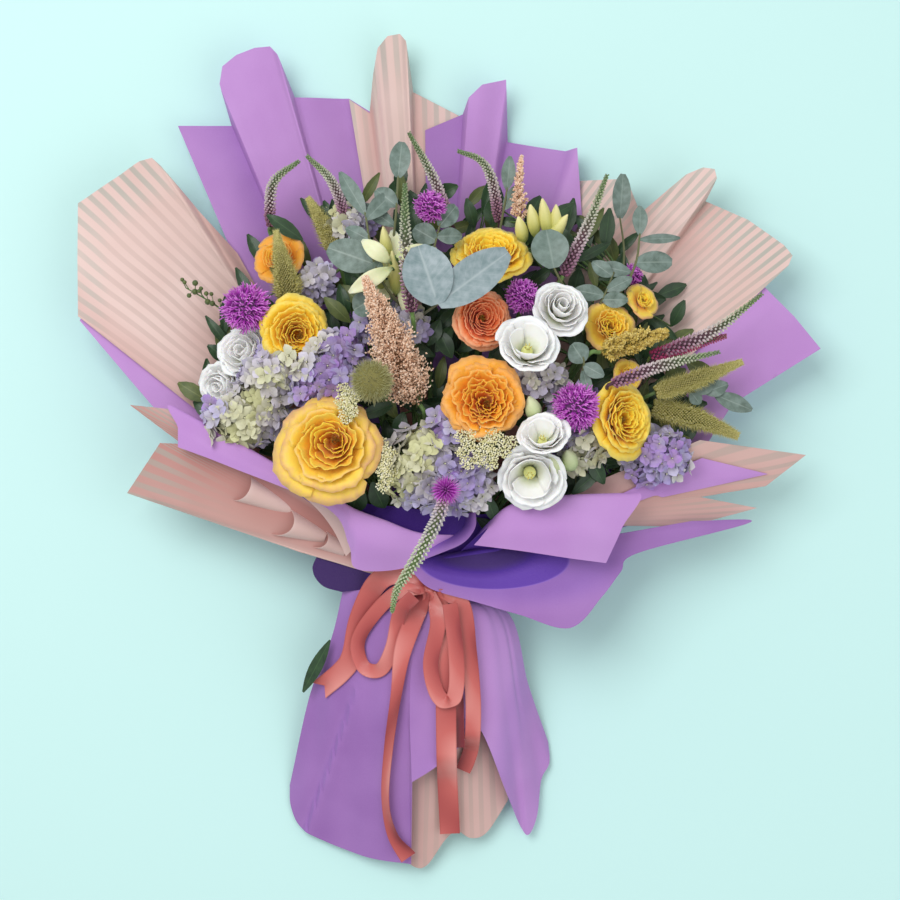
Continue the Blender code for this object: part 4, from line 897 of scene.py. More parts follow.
def bloom(piece, centre, axis, tiers, seed, drift=(0.0, 0.0), foot=0.62, rows=8, cols=13, frills=0.006):
    """Tiers of petals round a heart.

    A tier is (petals, radius, height, belly, half angle, curl, ruffle, inner). Each petal is part of a cup:
    it starts near the foot, swells to its belly and ends in a waved rim. One side lies outside its neighbour.
    """
    local = random.Random(seed)
    side, other = frame_of(axis)
    whole = tiers[0][1]
    low = -foot * whole
    u = np.linspace(-1, 1, cols)[None, :]
    t = np.linspace(0, 1, rows)[:, None]
    for petals, radius, height, belly, half, curl_back, ruffle, inner in tiers:
        turn = local.uniform(0, 6.28)
        shift = 1 - radius / whole
        for i in range(petals):
            middle = turn + 2 * math.pi * (i + local.uniform(-0.14, 0.14)) / petals
            reach = radius * local.uniform(0.93, 1.05)
            top = height + local.uniform(-0.06, 0.05) * whole
            far = t * (1 - local.uniform(0.08, 0.16) * np.abs(u) ** 3)
            angle = middle + u * half * (0.5 + 0.5 * smooth(t / 0.45)) * local.uniform(0.92, 1.08)
            out = (1 - far) ** 2 * 0.1 * whole + 2 * far * (1 - far) * belly * reach + far ** 2 * reach
            high = (1 - far) ** 2 * low + 2 * far * (1 - far) * (low * 0.40 + top * 0.60) + far ** 2 * top
            roll = curl_back * np.maximum(far - 0.66, 0) ** 2 * 8.6
            a, b, c = (local.uniform(0, 6.28) for _ in range(3))
            wave = (np.sin(4.1 * u + a) + 0.8 * np.sin(8.3 * u + b) + 0.5 * np.sin(14.7 * u + c)) / 1.5
            frill = (np.sin(23.0 * u + b) + np.sin(37.0 * u + a)) * frills * whole * smooth((far - 0.8) / 0.2)
            waved = ruffle * smooth((far - 0.45) / 0.5)
            out = out + 0.045 * whole * u * smooth(far / 0.5) + roll * 0.30 * reach
            out = out + waved * wave * 0.7 + frill
            high = high - roll * 0.34 * whole + waved * np.roll(wave, 2, axis=1) * 0.8 + frill * 0.7
            x = out * np.cos(angle) + drift[0] * shift
            y = out * np.sin(angle) + drift[1] * shift
            grid = centre + x[..., None] * side + y[..., None] * other + high[..., None] * axis
            piece.add(blade(grid, PETAL), 0, along=both(far), inner=inner, vary=local.random())


# Tiers in shares of the bloom's radius
ROSE = [(5, 1.0, -0.12, 0.80, 0.80, 0.50, 0.030, 0.0), (5, 0.92, -0.03, 0.80, 0.80, 0.35, 0.036, 0.0),
        (5, 0.79, 0.05, 0.82, 0.80, 0.10, 0.040, 0.2), (5, 0.65, 0.08, 0.86, 0.84, 0.0, 0.040, 0.5),
        (5, 0.52, 0.06, 0.90, 0.86, 0.0, 0.036, 0.75), (4, 0.40, 0.02, 0.94, 1.0, 0.0, 0.032, 0.9),
        (4, 0.29, -0.04, 1.0, 1.0, 0.0, 0.028, 1.0), (3, 0.19, -0.10, 1.05, 1.1, 0.0, 0.02, 1.0)]
LOOSE_ROSE = [(5, 1.0, -0.12, 0.80, 0.84, 0.60, 0.034, 0.0), (5, 0.90, -0.02, 0.80, 0.84, 0.40, 0.050, 0.0),
              (4, 0.76, 0.07, 0.82, 0.98, 0.16, 0.060, 0.25), (4, 0.61, 0.09, 0.88, 1.02, 0.0, 0.055, 0.7),
              (3, 0.46, 0.04, 0.94, 1.25, 0.0, 0.050, 0.95), (3, 0.33, -0.04, 1.0, 1.3, 0.0, 0.045, 1.0),
              (3, 0.21, -0.14, 1.05, 1.3, 0.0, 0.03, 1.0)]
OPEN_CUP = [(5, 1.0, -0.06, 0.80, 0.80, 0.35, 0.04, 0.0), (5, 0.90, 0.04, 0.82, 0.84, 0.12, 0.045, 0.0),
            (3, 0.66, 0.08, 0.95, 1.25, 0.0, 0.03, 0.1)]
CLOSED_CUP = [(4, 1.0, -0.06, 0.85, 1.0, 0.4, 0.05, 0.0), (4, 0.84, 0.06, 0.9, 1.0, 0.1, 0.055, 0.0),
              (3, 0.64, 0.16, 1.0, 1.3, 0.0, 0.05, 0.0), (3, 0.42, 0.2, 1.1, 1.35, 0.0, 0.04, 0.0),
              (2, 0.2, 0.16, 1.15, 1.8, 0.0, 0.02, 0.0)]


def scaled(tiers, radius, ruffle):
    """These tiers in millimetres."""
    return [(n, radius * a, radius * b, belly, half, curl_back, radius * wave * ruffle, inner)
            for n, a, b, belly, half, curl_back, wave, inner in tiers]


def sepals(piece, foot, axis, radius):
    """A short calyx with five narrow sepals."""
    tips = foot + each_unit(spokes(axis, evenly(5)) + axis * 0.25) * radius * 0.55
    piece.copies(NEEDLE, np.tile(foot + axis, (5, 1)), tips, 1.9, 1)
    line = [foot, foot + axis * radius * 0.15, foot + axis * radius * 0.28]
    piece.add(tube(line, [2.0, radius * 0.13, radius * 0.16], 8), 1)


GREEN = ramp_material("green parts", "tip", [(0.0, "4E6B34"), (1.0, "7F9A52")], 0.5)
STAMEN = ramp_material("stamens", "tip", [(0.0, "6A3C0C"), (1.0, "B98418")], 0.7)
# The roses' root colours and the inner tiers' first colour are partly the petals' own deeper tone and partly
# painted shade in the valleys near the heart
YELLOW = petal_material("yellow rose", "F0A234", "FFD64E", "F4B684", ("C0600A", "FAA80E", "FFE23C"))
YELLOW_DEEP = petal_material("deep yellow rose", "F0AC1A", "FFD02C", "FFE274", ("CC8008", "FCB410", "FFE040"))
PEACH = petal_material("peach rose", "F0881C", "FFAE2E", "F9B470", ("CC6408", "F8920A", "FFCC34"))
CORAL = petal_material("coral rose", "DC5822", "F8844A", "FCBA8E", ("B43C10", "F0642A", "FF9E66"))
WHITE = petal_material("white petals", "CCD48C", "FCFAF8", "FFFEFC", ("A8BC58", "F6F6E8", "FFFEFA"), 0.5, 0.1)


def rose(piece, seed, px, py, z, radius, axis, skipped, drift, ruffle):
    """A rose with stamens and calyx. skipped counts tiers left out, and drift is where its heart lies."""
    centre, axis = at(px, py, z), unit(axis)
    depth = radius * 0.8
    shares = LOOSE_ROSE if radius > 38 else ROSE
    tiers = scaled(shares[:1] + shares[1 + skipped:], radius, ruffle)
    rows, cols = (8, 19) if radius > 20 else (6, 11)
    bloom(piece, centre, axis, tiers, seed, drift, rows=rows, cols=cols, frills=0.009)
    local = np.random.default_rng(seed + 50)
    side, other = frame_of(axis)
    heart = centre + side * drift[0] + other * drift[1] - axis * depth * 0.5
    out = spokes(axis, local.uniform(0, 6.28, 40)) * (radius * 0.13 * np.sqrt(local.random(40)))[:, None]
    piece.copies(NEEDLE, heart + out * 0.5, heart + out + axis * depth * 0.28, 0.6, 2)
    foot = centre - axis * (depth + 4)
    sepals(piece, foot, axis, radius)
    # A plug of petal at the heart in its darkest colour: partly painted shade deep in the bloom
    core = tube([foot + axis * 3, foot + axis * depth * 0.5], [radius * 0.2, radius * 0.36], 12)
    piece.add(core, 0, along=0.1, inner=1.0)
    return foot, axis


for name, material, slot, seed, data in (
        ("rose_front_left", YELLOW, "yellow_rose", 101, (326, 447, 166, 41, (-0.1, 0.1, 1), 0, (6, 7), 1.1)),
        ("rose_left", YELLOW_DEEP, "yellow_rose", 111, (295, 331, 135, 28, (0.2, -0.1, 1), 0, (5, -5), 1.2)),
        ("rose_centre", PEACH, "peach_rose", 121, (484, 398, 170, 33, (0.05, 0.1, 1), 0, (3, -4), 2.2)),
        ("rose_coral", CORAL, "coral_rose", 131, (485, 318, 150, 25, (0.35, 0.1, 1), 0, (0, 1), 0.9)),
        ("rose_top", YELLOW_DEEP, "yellow_rose", 141,
         (493, 248, 122, 32, (0.05, 0.72, 0.72), 0, (0, 0), 1.1)),
        ("rose_right", YELLOW_DEEP, "yellow_rose", 151,
         (629, 419, 138, 31, (0.65, 0.05, 0.75), 0, (0, 0), 1.1)),
        ("rose_far_left", PEACH, "peach_rose", 161, (277, 255, 86, 22, (-0.3, 0.4, 0.9), 2, (0, 0), 1.0))):
    piece = Piece(name)
    FEET.append(rose(piece, seed, *data))
    piece.make([material, GREEN, STAMEN], sharp=0)
SPRAY = [(612, 325, 118, 22, (0.3, 0.3, 1), 2, (0, 0), 1.9),
         (630, 374, 118, 13, (0.4, 0.2, 1), 3, (0, 0), 1.7),
         (645, 299, 102, 15, (0.5, 0.4, 0.8), 3, (0, 0), 1.7)]
piece = Piece("rose_spray")
stalks(piece, [rose(piece, 171 + i, *data) for i, data in enumerate(SPRAY)], (606, 352, 72))
piece.make([YELLOW, GREEN, STAMEN], sharp=0)


def bud(piece, root, tip, radius, slot, leaf_slot=1):
    """A closed bud with its calyx."""
    root, tip = at(*root), at(*tip)
    t = np.linspace(0.02, 0.98, 9)
    points, faces = tube(root + (tip - root) * t[:, None], radius * np.sin(math.pi * t ** 0.8) ** 0.75, 10)
    points[:, :2] += 0.04 * radius * np.sin(np.arange(len(points)) * 2.5)[:, None]
    shares = tube_marks(t, 10)
    piece.add((points, faces), slot, along=shares, tip=shares)
    out = spokes(tip - root, evenly(5)) * radius * 0.95
    piece.copies(NEEDLE, np.tile(root, (5, 1)), root + (tip - root) * 0.5 + out, 1.0, leaf_slot)


def lisianthus(piece, seed, px, py, z, radius, axis, closed, drift=(0, 0), ruffle=1.0):
    """Broad white petals round a greenish throat with a small green pistil, or folded shut."""
    centre, axis = at(px, py, z), unit(axis)
    depth = radius * 0.95
    bloom(piece, centre, axis, scaled(CLOSED_CUP if closed else OPEN_CUP, radius, ruffle), seed, drift, 1.0)
    if not closed:
        side, other = frame_of(axis)
        heart = centre + (side * drift[0] + other * drift[1] - axis * depth) * 0.5
        piece.add(ball(heart - axis * radius * 0.16, radius * 0.2, 0.5), 2, tip=0.9)
        piece.add(ball(heart + axis * radius * 0.08, radius * 0.07, 1.8), 2, tip=0.9)
        out = spokes(axis, evenly(6)) * radius
        piece.copies(BEAD, heart + out * 0.05, heart + out * 0.15 + axis * radius * 0.18, 0.6, 3)
    foot = centre - axis * (depth + 3)
    sepals(piece, foot, axis, radius)
    return foot, axis


EYE = ramp_material("green eye", "tip", [(0.0, "B8C25A"), (1.0, "E2E490")], 0.5)
POLLEN = ramp_material("pollen", "tip", [(0.0, "C8B040"), (1.0, "E6D874")], 0.8)
BUD = ramp_material("green buds", "along", [(0.0, "8FA860"), (0.5, "C6D29C"), (1.0, "DDE0B8")], 0.5)
YELLOW_BUD = ramp_material("yellow buds", "along", [(0.0, "8FA650"), (0.4, "D4D274"), (1.0, "F0E6A4")], 0.5)
for name, seed, data, buds in (
        ("lisianthus_upper", 201, (562, 307, 144, 24, (0.2, 0.3, 1), True, (2, 4)), []),
        ("lisianthus_centre", 211, (528, 341, 170, 26, (0.1, 0.6, 1), False, (2, 0)), []),
        ("lisianthus_mid", 221, (543, 431, 172, 21, (-0.1, 0.75, 1), False, (-2, -3)),
         [((536, 420, 150), (529, 396, 160))]),
        ("lisianthus_low", 231, (532, 481, 158, 28, (0, -0.35, 1), False, (-3, 3)),
         [((562, 476, 138), (550, 458, 160)), ((572, 470, 136), (567, 450, 156))])):
    piece = Piece(name)
    foot, axis = lisianthus(piece, seed, *data)
    FEET.append((foot, axis))
    for root, tip in buds:
        bud(piece, root, tip, 7.5, 4)
        piece.add(tube(curve([foot - axis * 2, (foot + at(*root)) / 2 - UP * 6, at(*root)], 7), 1.1), 1)
    piece.make([WHITE, GREEN, EYE, POLLEN, BUD], sharp=0)
piece = Piece("lisianthus_left")
ends = [lisianthus(piece, 241, 240, 350, 112, 23, (-0.4, 0.3, 0.9), True, ruffle=1.6),
        lisianthus(piece, 251, 217, 387, 96, 22, (-0.6, -0.1, 0.8), True, ruffle=1.6)]
stalks(piece, ends, (250, 376, 68))
piece.make([WHITE, GREEN, EYE, POLLEN], sharp=0)


# Round heads of narrow florets

def fuzzy_ball(name, seed, count, px, py, z, radius, axis, stretch, width, materials, slot, core=0.62,
               shapes=CURLS):
    centre, axis = at(px, py, z), unit(axis)
    local = np.random.default_rng(seed)
    piece = Piece(name)
    a = math.pi * np.arange(1, 9) / 9
    inner = radius * core
    piece.add(tube(centre - axis * inner * stretch * np.cos(a)[:, None], inner * np.sin(a), 16), 1)
    out = dome(axis, count, -0.45, stretch)
    out += local.normal(0, 0.07, out.shape)
    tips = centre + out * radius * local.uniform(0.86, 1.0, count)[:, None]
    roots = centre + out * inner * 0.8
    for k, shape in enumerate(shapes):
        part = slice(k, None, len(shapes))
        piece.copies(shape, roots[part], tips[part], width, 0, vary=local.random(len(roots[part])))
    foot = centre - axis * radius * (0.68 * stretch + 0.25)
    piece.add(tube([foot, centre - axis * radius * 0.3], [1.7, radius * 0.35], 8), 1)
    piece.make(materials)
    FEET.append((foot, axis))


VIOLET = ramp_material("violet florets", "tip", [(0.15, "861C90"), (0.6, "C63CC8"), (1.0, "F0A2EE")], 0.6,
                       other=("vary", [(0.3, "96289C"), (0.7, "CE6ACC")], 0.45))
THISTLE_BASE = ramp_material("thistle base", "tip", [(0.0, "5A2A5E"), (1.0, "5A2A5E")], 0.7)
TEASEL = ramp_material("green ball", "tip", [(0.2, "80793E"), (0.7, "B2AA70"), (1.0, "E2DEB8")], 0.7,
                       other=("vary", [(0.3, "7E8650"), (0.7, "C2C69A")], 0.5))
for name, seed, count, data in (
        ("thistle_left", 301, 520, (246, 308, 128, 23, (-0.2, 0.2, 1), 0.8)),
        ("thistle_top", 302, 330, (430, 207, 130, 15, (0, 0.5, 1), 1.1)),
        ("thistle_mid", 303, 360, (522, 296, 134, 16, (0, 0.3, 1), 1.2)),
        ("thistle_right", 304, 520, (576, 407, 156, 22, (0.1, 0, 1), 0.8)),
        ("thistle_small", 305, 220, (632, 275, 88, 10, (0.3, 0.4, 1), 1.0))):
    fuzzy_ball(name, seed, count, *data, 0.75, [VIOLET, THISTLE_BASE], "thistle")
fuzzy_ball("seed_ball", 306, 1300, 372, 381, 186, 20, (0, 0, 1), 0.95, 0.42, [TEASEL, TEASEL], "foxtail", 0.8,
           [NEEDLE])


# Spikes and plumes

def along_line(points, t):
    """Places and directions at shares t of a smooth line's length."""
    dense = curve(points, 60)
    step = np.linalg.norm(np.diff(dense, axis=0), axis=1)
    reach = np.concatenate([[0], np.cumsum(step)]) / step.sum()
    slope = each_unit(np.gradient(dense, axis=0))
    places, ahead = (np.column_stack([np.interp(t, reach, values[:, k]) for k in range(3)])
                     for values in (dense, slope))
    return places, each_unit(ahead)


CORE_SHARES = np.linspace(0, 1, 16)


def spike(piece, points, widths, count, sizes, lean, seed, slot=0, bead=BEAD, thin=0.25, reach=1.05,
          jitter=0.1):
    """Buds all round a line, pointing out and forward.

    widths are its radii near the root, halfway and at the tip. sizes has a bud's length and radius at the
    root and at the tip. thin and reach are where a bud starts and ends, in shares of the radius.
    """
    local = np.random.default_rng(seed)
    points = [at(*p) for p in points]
    t = (np.arange(count) + 0.5) / count
    places, ahead = along_line(points, t)
    radius = np.interp(t, WIDTH_SHARES, [widths[0] * 0.75, *widths])
    side, other = across_each(ahead, vec(0.1, 0.2, 1.0))
    a = np.arange(count)[:, None] * GOLDEN
    out = np.cos(a) * side + np.sin(a) * other
    length, wide = (np.interp(t, [0, 1], pair) for pair in zip(*sizes))
    length *= local.uniform(0.85, 1.15, count)
    roots = places + out * (radius * thin)[:, None]
    tips = places + out * (radius * reach * local.uniform(1 - jitter, 1, count))[:, None]
    tips += ahead * (lean * length)[:, None]
    rise = tips - roots
    rise = each_unit(rise) * np.minimum(length, np.linalg.norm(rise, axis=1))[:, None]
    piece.copies(bead, tips - rise, tips, wide, slot, along=t, vary=local.random(count))
    first, middle, last = widths
    core = np.interp(CORE_SHARES, WIDTH_SHARES, [first * 0.3, first * 0.42, middle * 0.42, last * 0.5])
    line, _ = along_line(points, CORE_SHARES)
    piece.add(tube(line, core, 8), 1, along=tube_marks(CORE_SHARES, 8), tip=0.5)


def line_foot(points):
    """Where a line starts, and its direction there."""
    first, second = (at(*p) for p in points[:2])
    return first, unit(second - first)


def carry(piece, lines, hub, slot=1):
    """Stalks from the lines to a knob, or a stem for each line where there is no hub."""
    ends = [line_foot(points) for points, _ in lines]
    if hub:
        stalks(piece, ends, hub, slot)
    else:
        FEET.extend(ends)


VERONICA = ramp_material(
    "veronica buds", "along",
    [(0.0, "8E4A70"), (0.2, "B888A4"), (0.36, "E0D0D2"), (0.62, "D2D4BC"), (0.8, "9CAE7C"), (1.0, "66844C")],
    0.6, other=("vary", [(0.3, "E0D8D4"), (0.7, "9A6A86")], 0.3))
VERONICA_CORE = ramp_material("veronica stem", "along",
                              [(0.0, "4A2438"), (0.4, "5A3A44"), (0.62, "4E5E38"), (1.0, "547240")], 0.7)
VERONICA_CORE_GREEN = ramp_material("green spike stem", "along",
                                    [(0.0, "6A5A58"), (0.3, "5E7040"), (1.0, "6E8E48")], 0.7)
VERONICA_WHITE = ramp_material(
    "white veronica buds", "along",
    [(0.0, "C88AB4"), (0.14, "D2C4CC"), (0.4, "D8DAC6"), (0.7, "C2CCA6"), (1.0, "7E9A58")], 0.6,
    other=("vary", [(0.3, "EEEADF"), (0.7, "A8B48A")], 0.3))
CRIMSON = ramp_material("crimson buds", "along", [(0.0, "A02C62"), (0.5, "C04478"), (1.0, "B86A86")], 0.6,
                        other=("vary", [(0.3, "D86A98"), (0.7, "8A2450")], 0.4))
VERONICA_BUDS = ((4.4, 1.35), (2.4, 0.85))
RED_SPIKE = [(650, 356, 118), (690, 345, 118), (726, 336, 112)]
for name, seed, lines, hub in (
        ("veronica_far_left", 401, [([(271, 226, 62), (270, 205, 78), (275, 180, 92), (299, 161, 98)],
                                     (6, 6, 2))],
         None),
        ("veronica_left", 402, [([(347, 222, 96), (332, 182, 100), (307, 156, 100)], (6, 5.5, 2))], None),
        ("veronica_centre", 403,
         [([(412, 312, 150), (407, 270, 158), (405, 225, 160), (405, 184, 158)], (8, 7, 2.4))], None),
        ("veronica_top", 404,
         [([(452, 224, 92), (432, 175, 100), (409, 133, 102)], (6, 5.5, 2)),
          ([(499, 222, 82), (492, 180, 96), (480, 160, 102), (458, 151, 104)], (6, 5.5, 2))], (474, 262, 62)),
        ("veronica_right", 406, [([(563, 276, 112), (588, 225, 112), (607, 175, 106)], (7, 6, 2))], None),
        ("veronica_far_right", 407,
         [([(664, 352, 122), (715, 330, 122), (762, 294, 116)], (7.5, 6, 2)),
          ([(612, 384, 150), (660, 366, 150), (719, 352, 140)], (7, 6, 2))], (634, 398, 76))):
    piece = Piece(name)
    for i, (points, widths) in enumerate(lines):
        spike(piece, points, widths, 230, VERONICA_BUDS, 0.5, seed + i)
    carry(piece, lines, hub)
    if name == "veronica_far_right":
        spike(piece, RED_SPIKE, (7, 7, 2.5), 200, ((4.4, 1.35), (2.6, 0.9)), 0.5, 440, slot=4)
        piece.add(tube([at(634, 398, 80), at(*RED_SPIKE[0])], [1.6, 1.2]), 2)
    piece.make([VERONICA, VERONICA_CORE, GREEN, VIOLET, CRIMSON])

# The spike in front hangs over from a round head of florets
piece = Piece("veronica_front")
spike(piece, [(446, 492, 172), (437, 520, 170), (416, 560, 158), (397, 590, 138), (392, 612, 124)],
      (7, 7, 2.2), 330, VERONICA_BUDS, 0.5, 409)
axis = unit(vec(0.05, -0.25, 1))
head = at(446, 490, 172)
out = dome(axis, 110, -0.2)
piece.copies(NEEDLE, head + out * 2, head + out * 14.5, 1.1, 3, vary=shared_rng.random(110))
piece.add(tube([head - axis * 9, head], [1.8, 4], 8), 1, along=0.3)
piece.make([VERONICA_WHITE, VERONICA_CORE_GREEN, GREEN, VIOLET])
FEET.append((head - axis * 9, axis))

FOXTAIL = ramp_material("foxtail bristles", "tip", [(0.1, "8E8640"), (0.6, "C4BA68"), (1.0, "F2EAB4")], 0.8,
                        other=("vary", [(0.3, "7E7C34"), (0.7, "C0B860")], 0.45))
FOXTAIL_CORE = ramp_material("foxtail core", "along", [(0.0, "46501F"), (1.0, "5E6A2C")], 0.9)


def foxtail(name, seed, count, lines, hub=None):
    """Olive tails: lumps of tiny florets with fine bristles over them."""
    piece = Piece(name)
    for i, (points, widths) in enumerate(lines):
        spike(piece, points, widths, count, ((5.0, 1.15), (2.6, 0.8)), 0.35, seed + i, thin=0.5, reach=1.06,
              jitter=0.3)
        spike(piece, points, [1.3 * w for w in widths], count, ((7.0, 0.3), (4.0, 0.26)), 0.55, seed + 7 + i,
              bead=NEEDLE, thin=0.4, reach=1.1, jitter=0.3)
    carry(piece, lines, hub, 2)
    piece.make([FOXTAIL, FOXTAIL_CORE, GREEN])


foxtail("foxtail_left", 501, 1100, [([(290, 300, 108), (282, 262, 114), (276, 231, 112)], (13, 9, 2.5))])
foxtail("foxtail_back", 502, 900, [([(334, 250, 86), (322, 222, 90), (308, 198, 90)], (9, 8, 2.5))])
foxtail("foxtail_right", 503, 1050, [([(655, 393, 108), (700, 378, 108), (742, 362, 104)], (9, 8.5, 3)),
                                     ([(652, 407, 92), (700, 420, 92), (738, 436, 90)], (11, 10, 4))],
                                     (634, 410, 76))


def plume(name, seed, points, widths, sprays, materials, size, buds, spread, foot=None):
    """Side sprays of tiny round buds round a stalk. foot is where its stem ends, if not at its root."""
    piece = Piece(name)
    FEET.append(line_foot(foot or points))
    local = np.random.default_rng(seed)
    points = [at(*p) for p in points]
    t = (np.arange(sprays) + 0.5) / sprays
    places, ahead = along_line(points, t)
    radius = np.interp(t, WIDTH_SHARES, [widths[0] * 0.8, *widths])
    roots, tips, vary = [], [], []
    for k in range(sprays):
        side, other = frame_of(ahead[k])
        a = k * GOLDEN + local.normal(0, 0.3)
        lead = unit(math.cos(a) * side + math.sin(a) * other + ahead[k] * spread * (1 + t[k]))
        end = places[k] + lead * radius[k] * local.uniform(0.75, 1.05)
        piece.add(tube([places[k], end], [0.6, 0.25], 3), 1, along=t[k])
        n = max(int(buds * (0.35 + radius[k] / max(widths))), 5)
        s = np.sqrt(local.random(n))[:, None]
        loose = local.normal(0, 0.09, (n, 3)) * radius[k] * (1.15 - s * 0.5)
        roots.append(places[k] + (end - places[k]) * s + loose)
        tips.append(roots[-1] + each_unit(lead + local.normal(0, 0.8, (n, 3))) * size * 1.9)
        vary.append(local.random(n) * 0.6 + 0.4 * s.ravel())
    piece.copies(BEAD, np.vstack(roots), np.vstack(tips), size * 0.62, 0, vary=np.concatenate(vary))
    line, _ = along_line(points, CORE_SHARES)
    piece.add(tube(line, np.linspace(1.8, 0.6, len(line))), 1, along=0.5)
    piece.make(materials)


ASTILBE = [ramp_material("astilbe", "vary", [(0.0, "D6A480"), (0.5, "EEC6A6"), (1.0, "FFE8D4")], 0.8),
           ramp_material("astilbe stalk", "along", [(0.0, "8A6644"), (1.0, "A88460")], 0.9)]
GOLD = [ramp_material("goldenrod", "vary", [(0.0, "AE923A"), (0.5, "D2B656"), (1.0, "EAD488")], 0.8),
        ramp_material("goldenrod stalk", "along", [(0.0, "6A6A2C"), (1.0, "8A8038")], 0.9)]
plume("astilbe_front", 601, [(414, 404, 142), (400, 366, 160), (385, 325, 172), (366, 280, 174)], (38, 25, 4),
      160, ASTILBE, 1.25, 46, 0.9, foot=[(420, 404, 142), (404, 366, 160)])
plume("astilbe_back", 602, [(520, 222, 92), (519, 190, 96), (521, 157, 94)], (10, 7, 2), 50,
      ASTILBE, 1.2, 24, 0.8)
plume("solidago", 603, [(600, 352, 138), (632, 342, 134), (664, 333, 124)], (14, 13, 5), 80, GOLD,
      1.3, 32, 0.7)


# Clusters of four-petalled florets

def floret_shape():
    """Four rounded petals across +Z, of radius 1, thin and a little cupped, and their mark outwards."""
    rim = [(0.10, -0.10), (0.40, -0.42), (0.72, -0.44), (0.95, -0.16), (1.02, 0.10), (0.76, 0.42),
           (0.42, 0.42), (0.10, 0.10)]
    points, faces, outwards = [], [], []
    for k in range(4):
        c, s = math.cos(math.pi / 2 * k), math.sin(math.pi / 2 * k)
        first = len(points)
        for x, y in [(0.55, 0.0)] + rim:
            z = 0.30 * x * x - 0.42 * abs(y) * x + (0.05 if k % 2 else 0.0) + 0.12 * y * x
            points.append((x * c - y * s, x * s + y * c, z))
            outwards.append(min(x, 1.0))
        low = len(points)
        points.append((0.5 * c, 0.5 * s, -0.05))
        outwards.append(0.5)
        for j in range(8):
            a, b = first + 1 + j, first + 1 + (j + 1) % 8
            faces += [(first, a, b), (low, b, a)]
    return (np.array(points), np.array(faces)), np.array(outwards)


FLORET, FLORET_MARK = floret_shape()

# Plan circles (px, py, radius) of the blooms that stand over the hydrangeas, where no floret is placed
CLEARINGS = [(327, 446, 44), (295, 329, 31), (484, 396, 34), (485, 319, 25), (492, 245, 32), (630, 421, 30),
             (612, 325, 22), (277, 255, 22), (562, 307, 24), (528, 341, 26), (543, 431, 20), (532, 480, 28),
             (240, 350, 21), (217, 387, 20), (246, 308, 20), (576, 407, 22), (372, 381, 20)]


def florets(piece, centres, axes, radii, spins, tint):
    """Florets with a small eye each."""
    ahead = each_unit(axes)
    x, y = across_each(ahead, vec(0.3, 0.9, 0.1))
    c, s, wide = np.cos(spins)[:, None], np.sin(spins)[:, None], radii[:, None]
    piece.placed(FLORET, centres, ((x * c + y * s) * wide, (y * c - x * s) * wide, ahead * wide), 0,
                 {"along": FLORET_MARK}, tint=tint, vary=shared_rng.random(len(centres)))
    roots = centres + ahead * wide * 0.02
    piece.copies(BEAD, roots, roots + ahead * wide * 0.16, radii * 0.09, 1)


def hydrangea_material():
    """Lilac-blue, violet and green-cream petals, by the floret's tint."""
    s = Shader("hydrangea florets", 0.6, Sheen_Weight=0.15)
    fine = s.noise(420.0)
    whole = s.ramp(s.mark("tint"), [(0.0, "DCDC9E"), (0.22, "E9E6CC"), (0.42, "E6DEE4"), (0.6, "CBC3E6"),
                                    (0.8, "AE9CDC"), (1.0, "B27ED6")])
    edge = s.ramp(s.mark("along"), [(0.1, 0.0), (0.9, 1.0)])
    colour = s.mix(edge, s.mix(0.45, whole, "98944E"), whole)
    # Painted shade: random florets are darkened towards a shaded copy of their tint
    shaded = s.ramp(s.mark("tint"), [(0.0, "A09868"), (1.0, "7C68A8")])
    colour = s.mix(s.times(s.mark("vary"), 0.4), colour, shaded)
    s.colour(s.mix(0.12, colour, s.ramp(fine, [(0.3, "7E78A8"), (0.7, "F2F0F0")])))
    return s.bump(fine, 0.25, 0.0003)


FLORET_EYE = ramp_material("floret eyes", "tip", [(0.0, "B9B98A"), (1.0, "E8E4C0")], 0.7)
PALE_STALK = ramp_material("hydrangea stalks", "tip", [(0.0, "6E8A4C"), (1.0, "8FA46A")], 0.6)
HYDRANGEA = [hydrangea_material(), FLORET_EYE, PALE_STALK]


def hydrangea(name, seed, radius, hub, patches):
    """A dense head of florets in two layers. patches lists (px, py, z, rx, ry, count, tint from, tint to)."""
    local = np.random.default_rng(seed)
    piece = Piece(name)
    middle = knob(piece, hub, 2, rise=4.5, radius=4.5)
    for px, py, z, rx, ry, count, tint_from, tint_to in patches:
        centres, tints = [], []
        for i in range(count):
            share = math.sqrt((i + 0.5) / count)
            for layer in range(2):
                a = i * GOLDEN + layer * 1.1
                x = px + rx * share * math.cos(a) + local.uniform(-3, 3)
                y = py + ry * share * math.sin(a) + local.uniform(-3, 3)
                if any((x - cx) ** 2 + (y - cy) ** 2 < (r * 0.86) ** 2 for cx, cy, r in CLEARINGS):
                    continue
                centres.append(at(x, y, z + 1 - 18 * share ** 2.2 + local.uniform(-4, 3) - 11 * layer))
                blend = (math.sin(x / 17.0 + y / 23.0 + seed) + 1) / 2
                tints.append(tint_from + (tint_to - tint_from) * blend + local.normal(0, 0.12))
        centres = np.array(centres)
        axes = each_unit(centres - at(px, py, z) + UP * 34)
        axes += local.normal(0, 0.34, axes.shape)
        florets(piece, centres, axes, radius * local.uniform(0.68, 1.2, len(centres)),
                local.uniform(0, 1.57, len(centres)), np.clip(tints, 0, 1))
        knot = at(px, py, z) - UP * 38
        knot[2] = max(knot[2], middle[2])
        piece.add(tube(curve([middle, (middle + knot) / 2 + UP * 3, knot], 7), 1.6), 2)
        for centre in centres[::2]:
            piece.add(tube([knot, (knot + centre) / 2 - UP * 2, centre], 0.6, 3), 2)
    piece.make(HYDRANGEA, sharp=50)


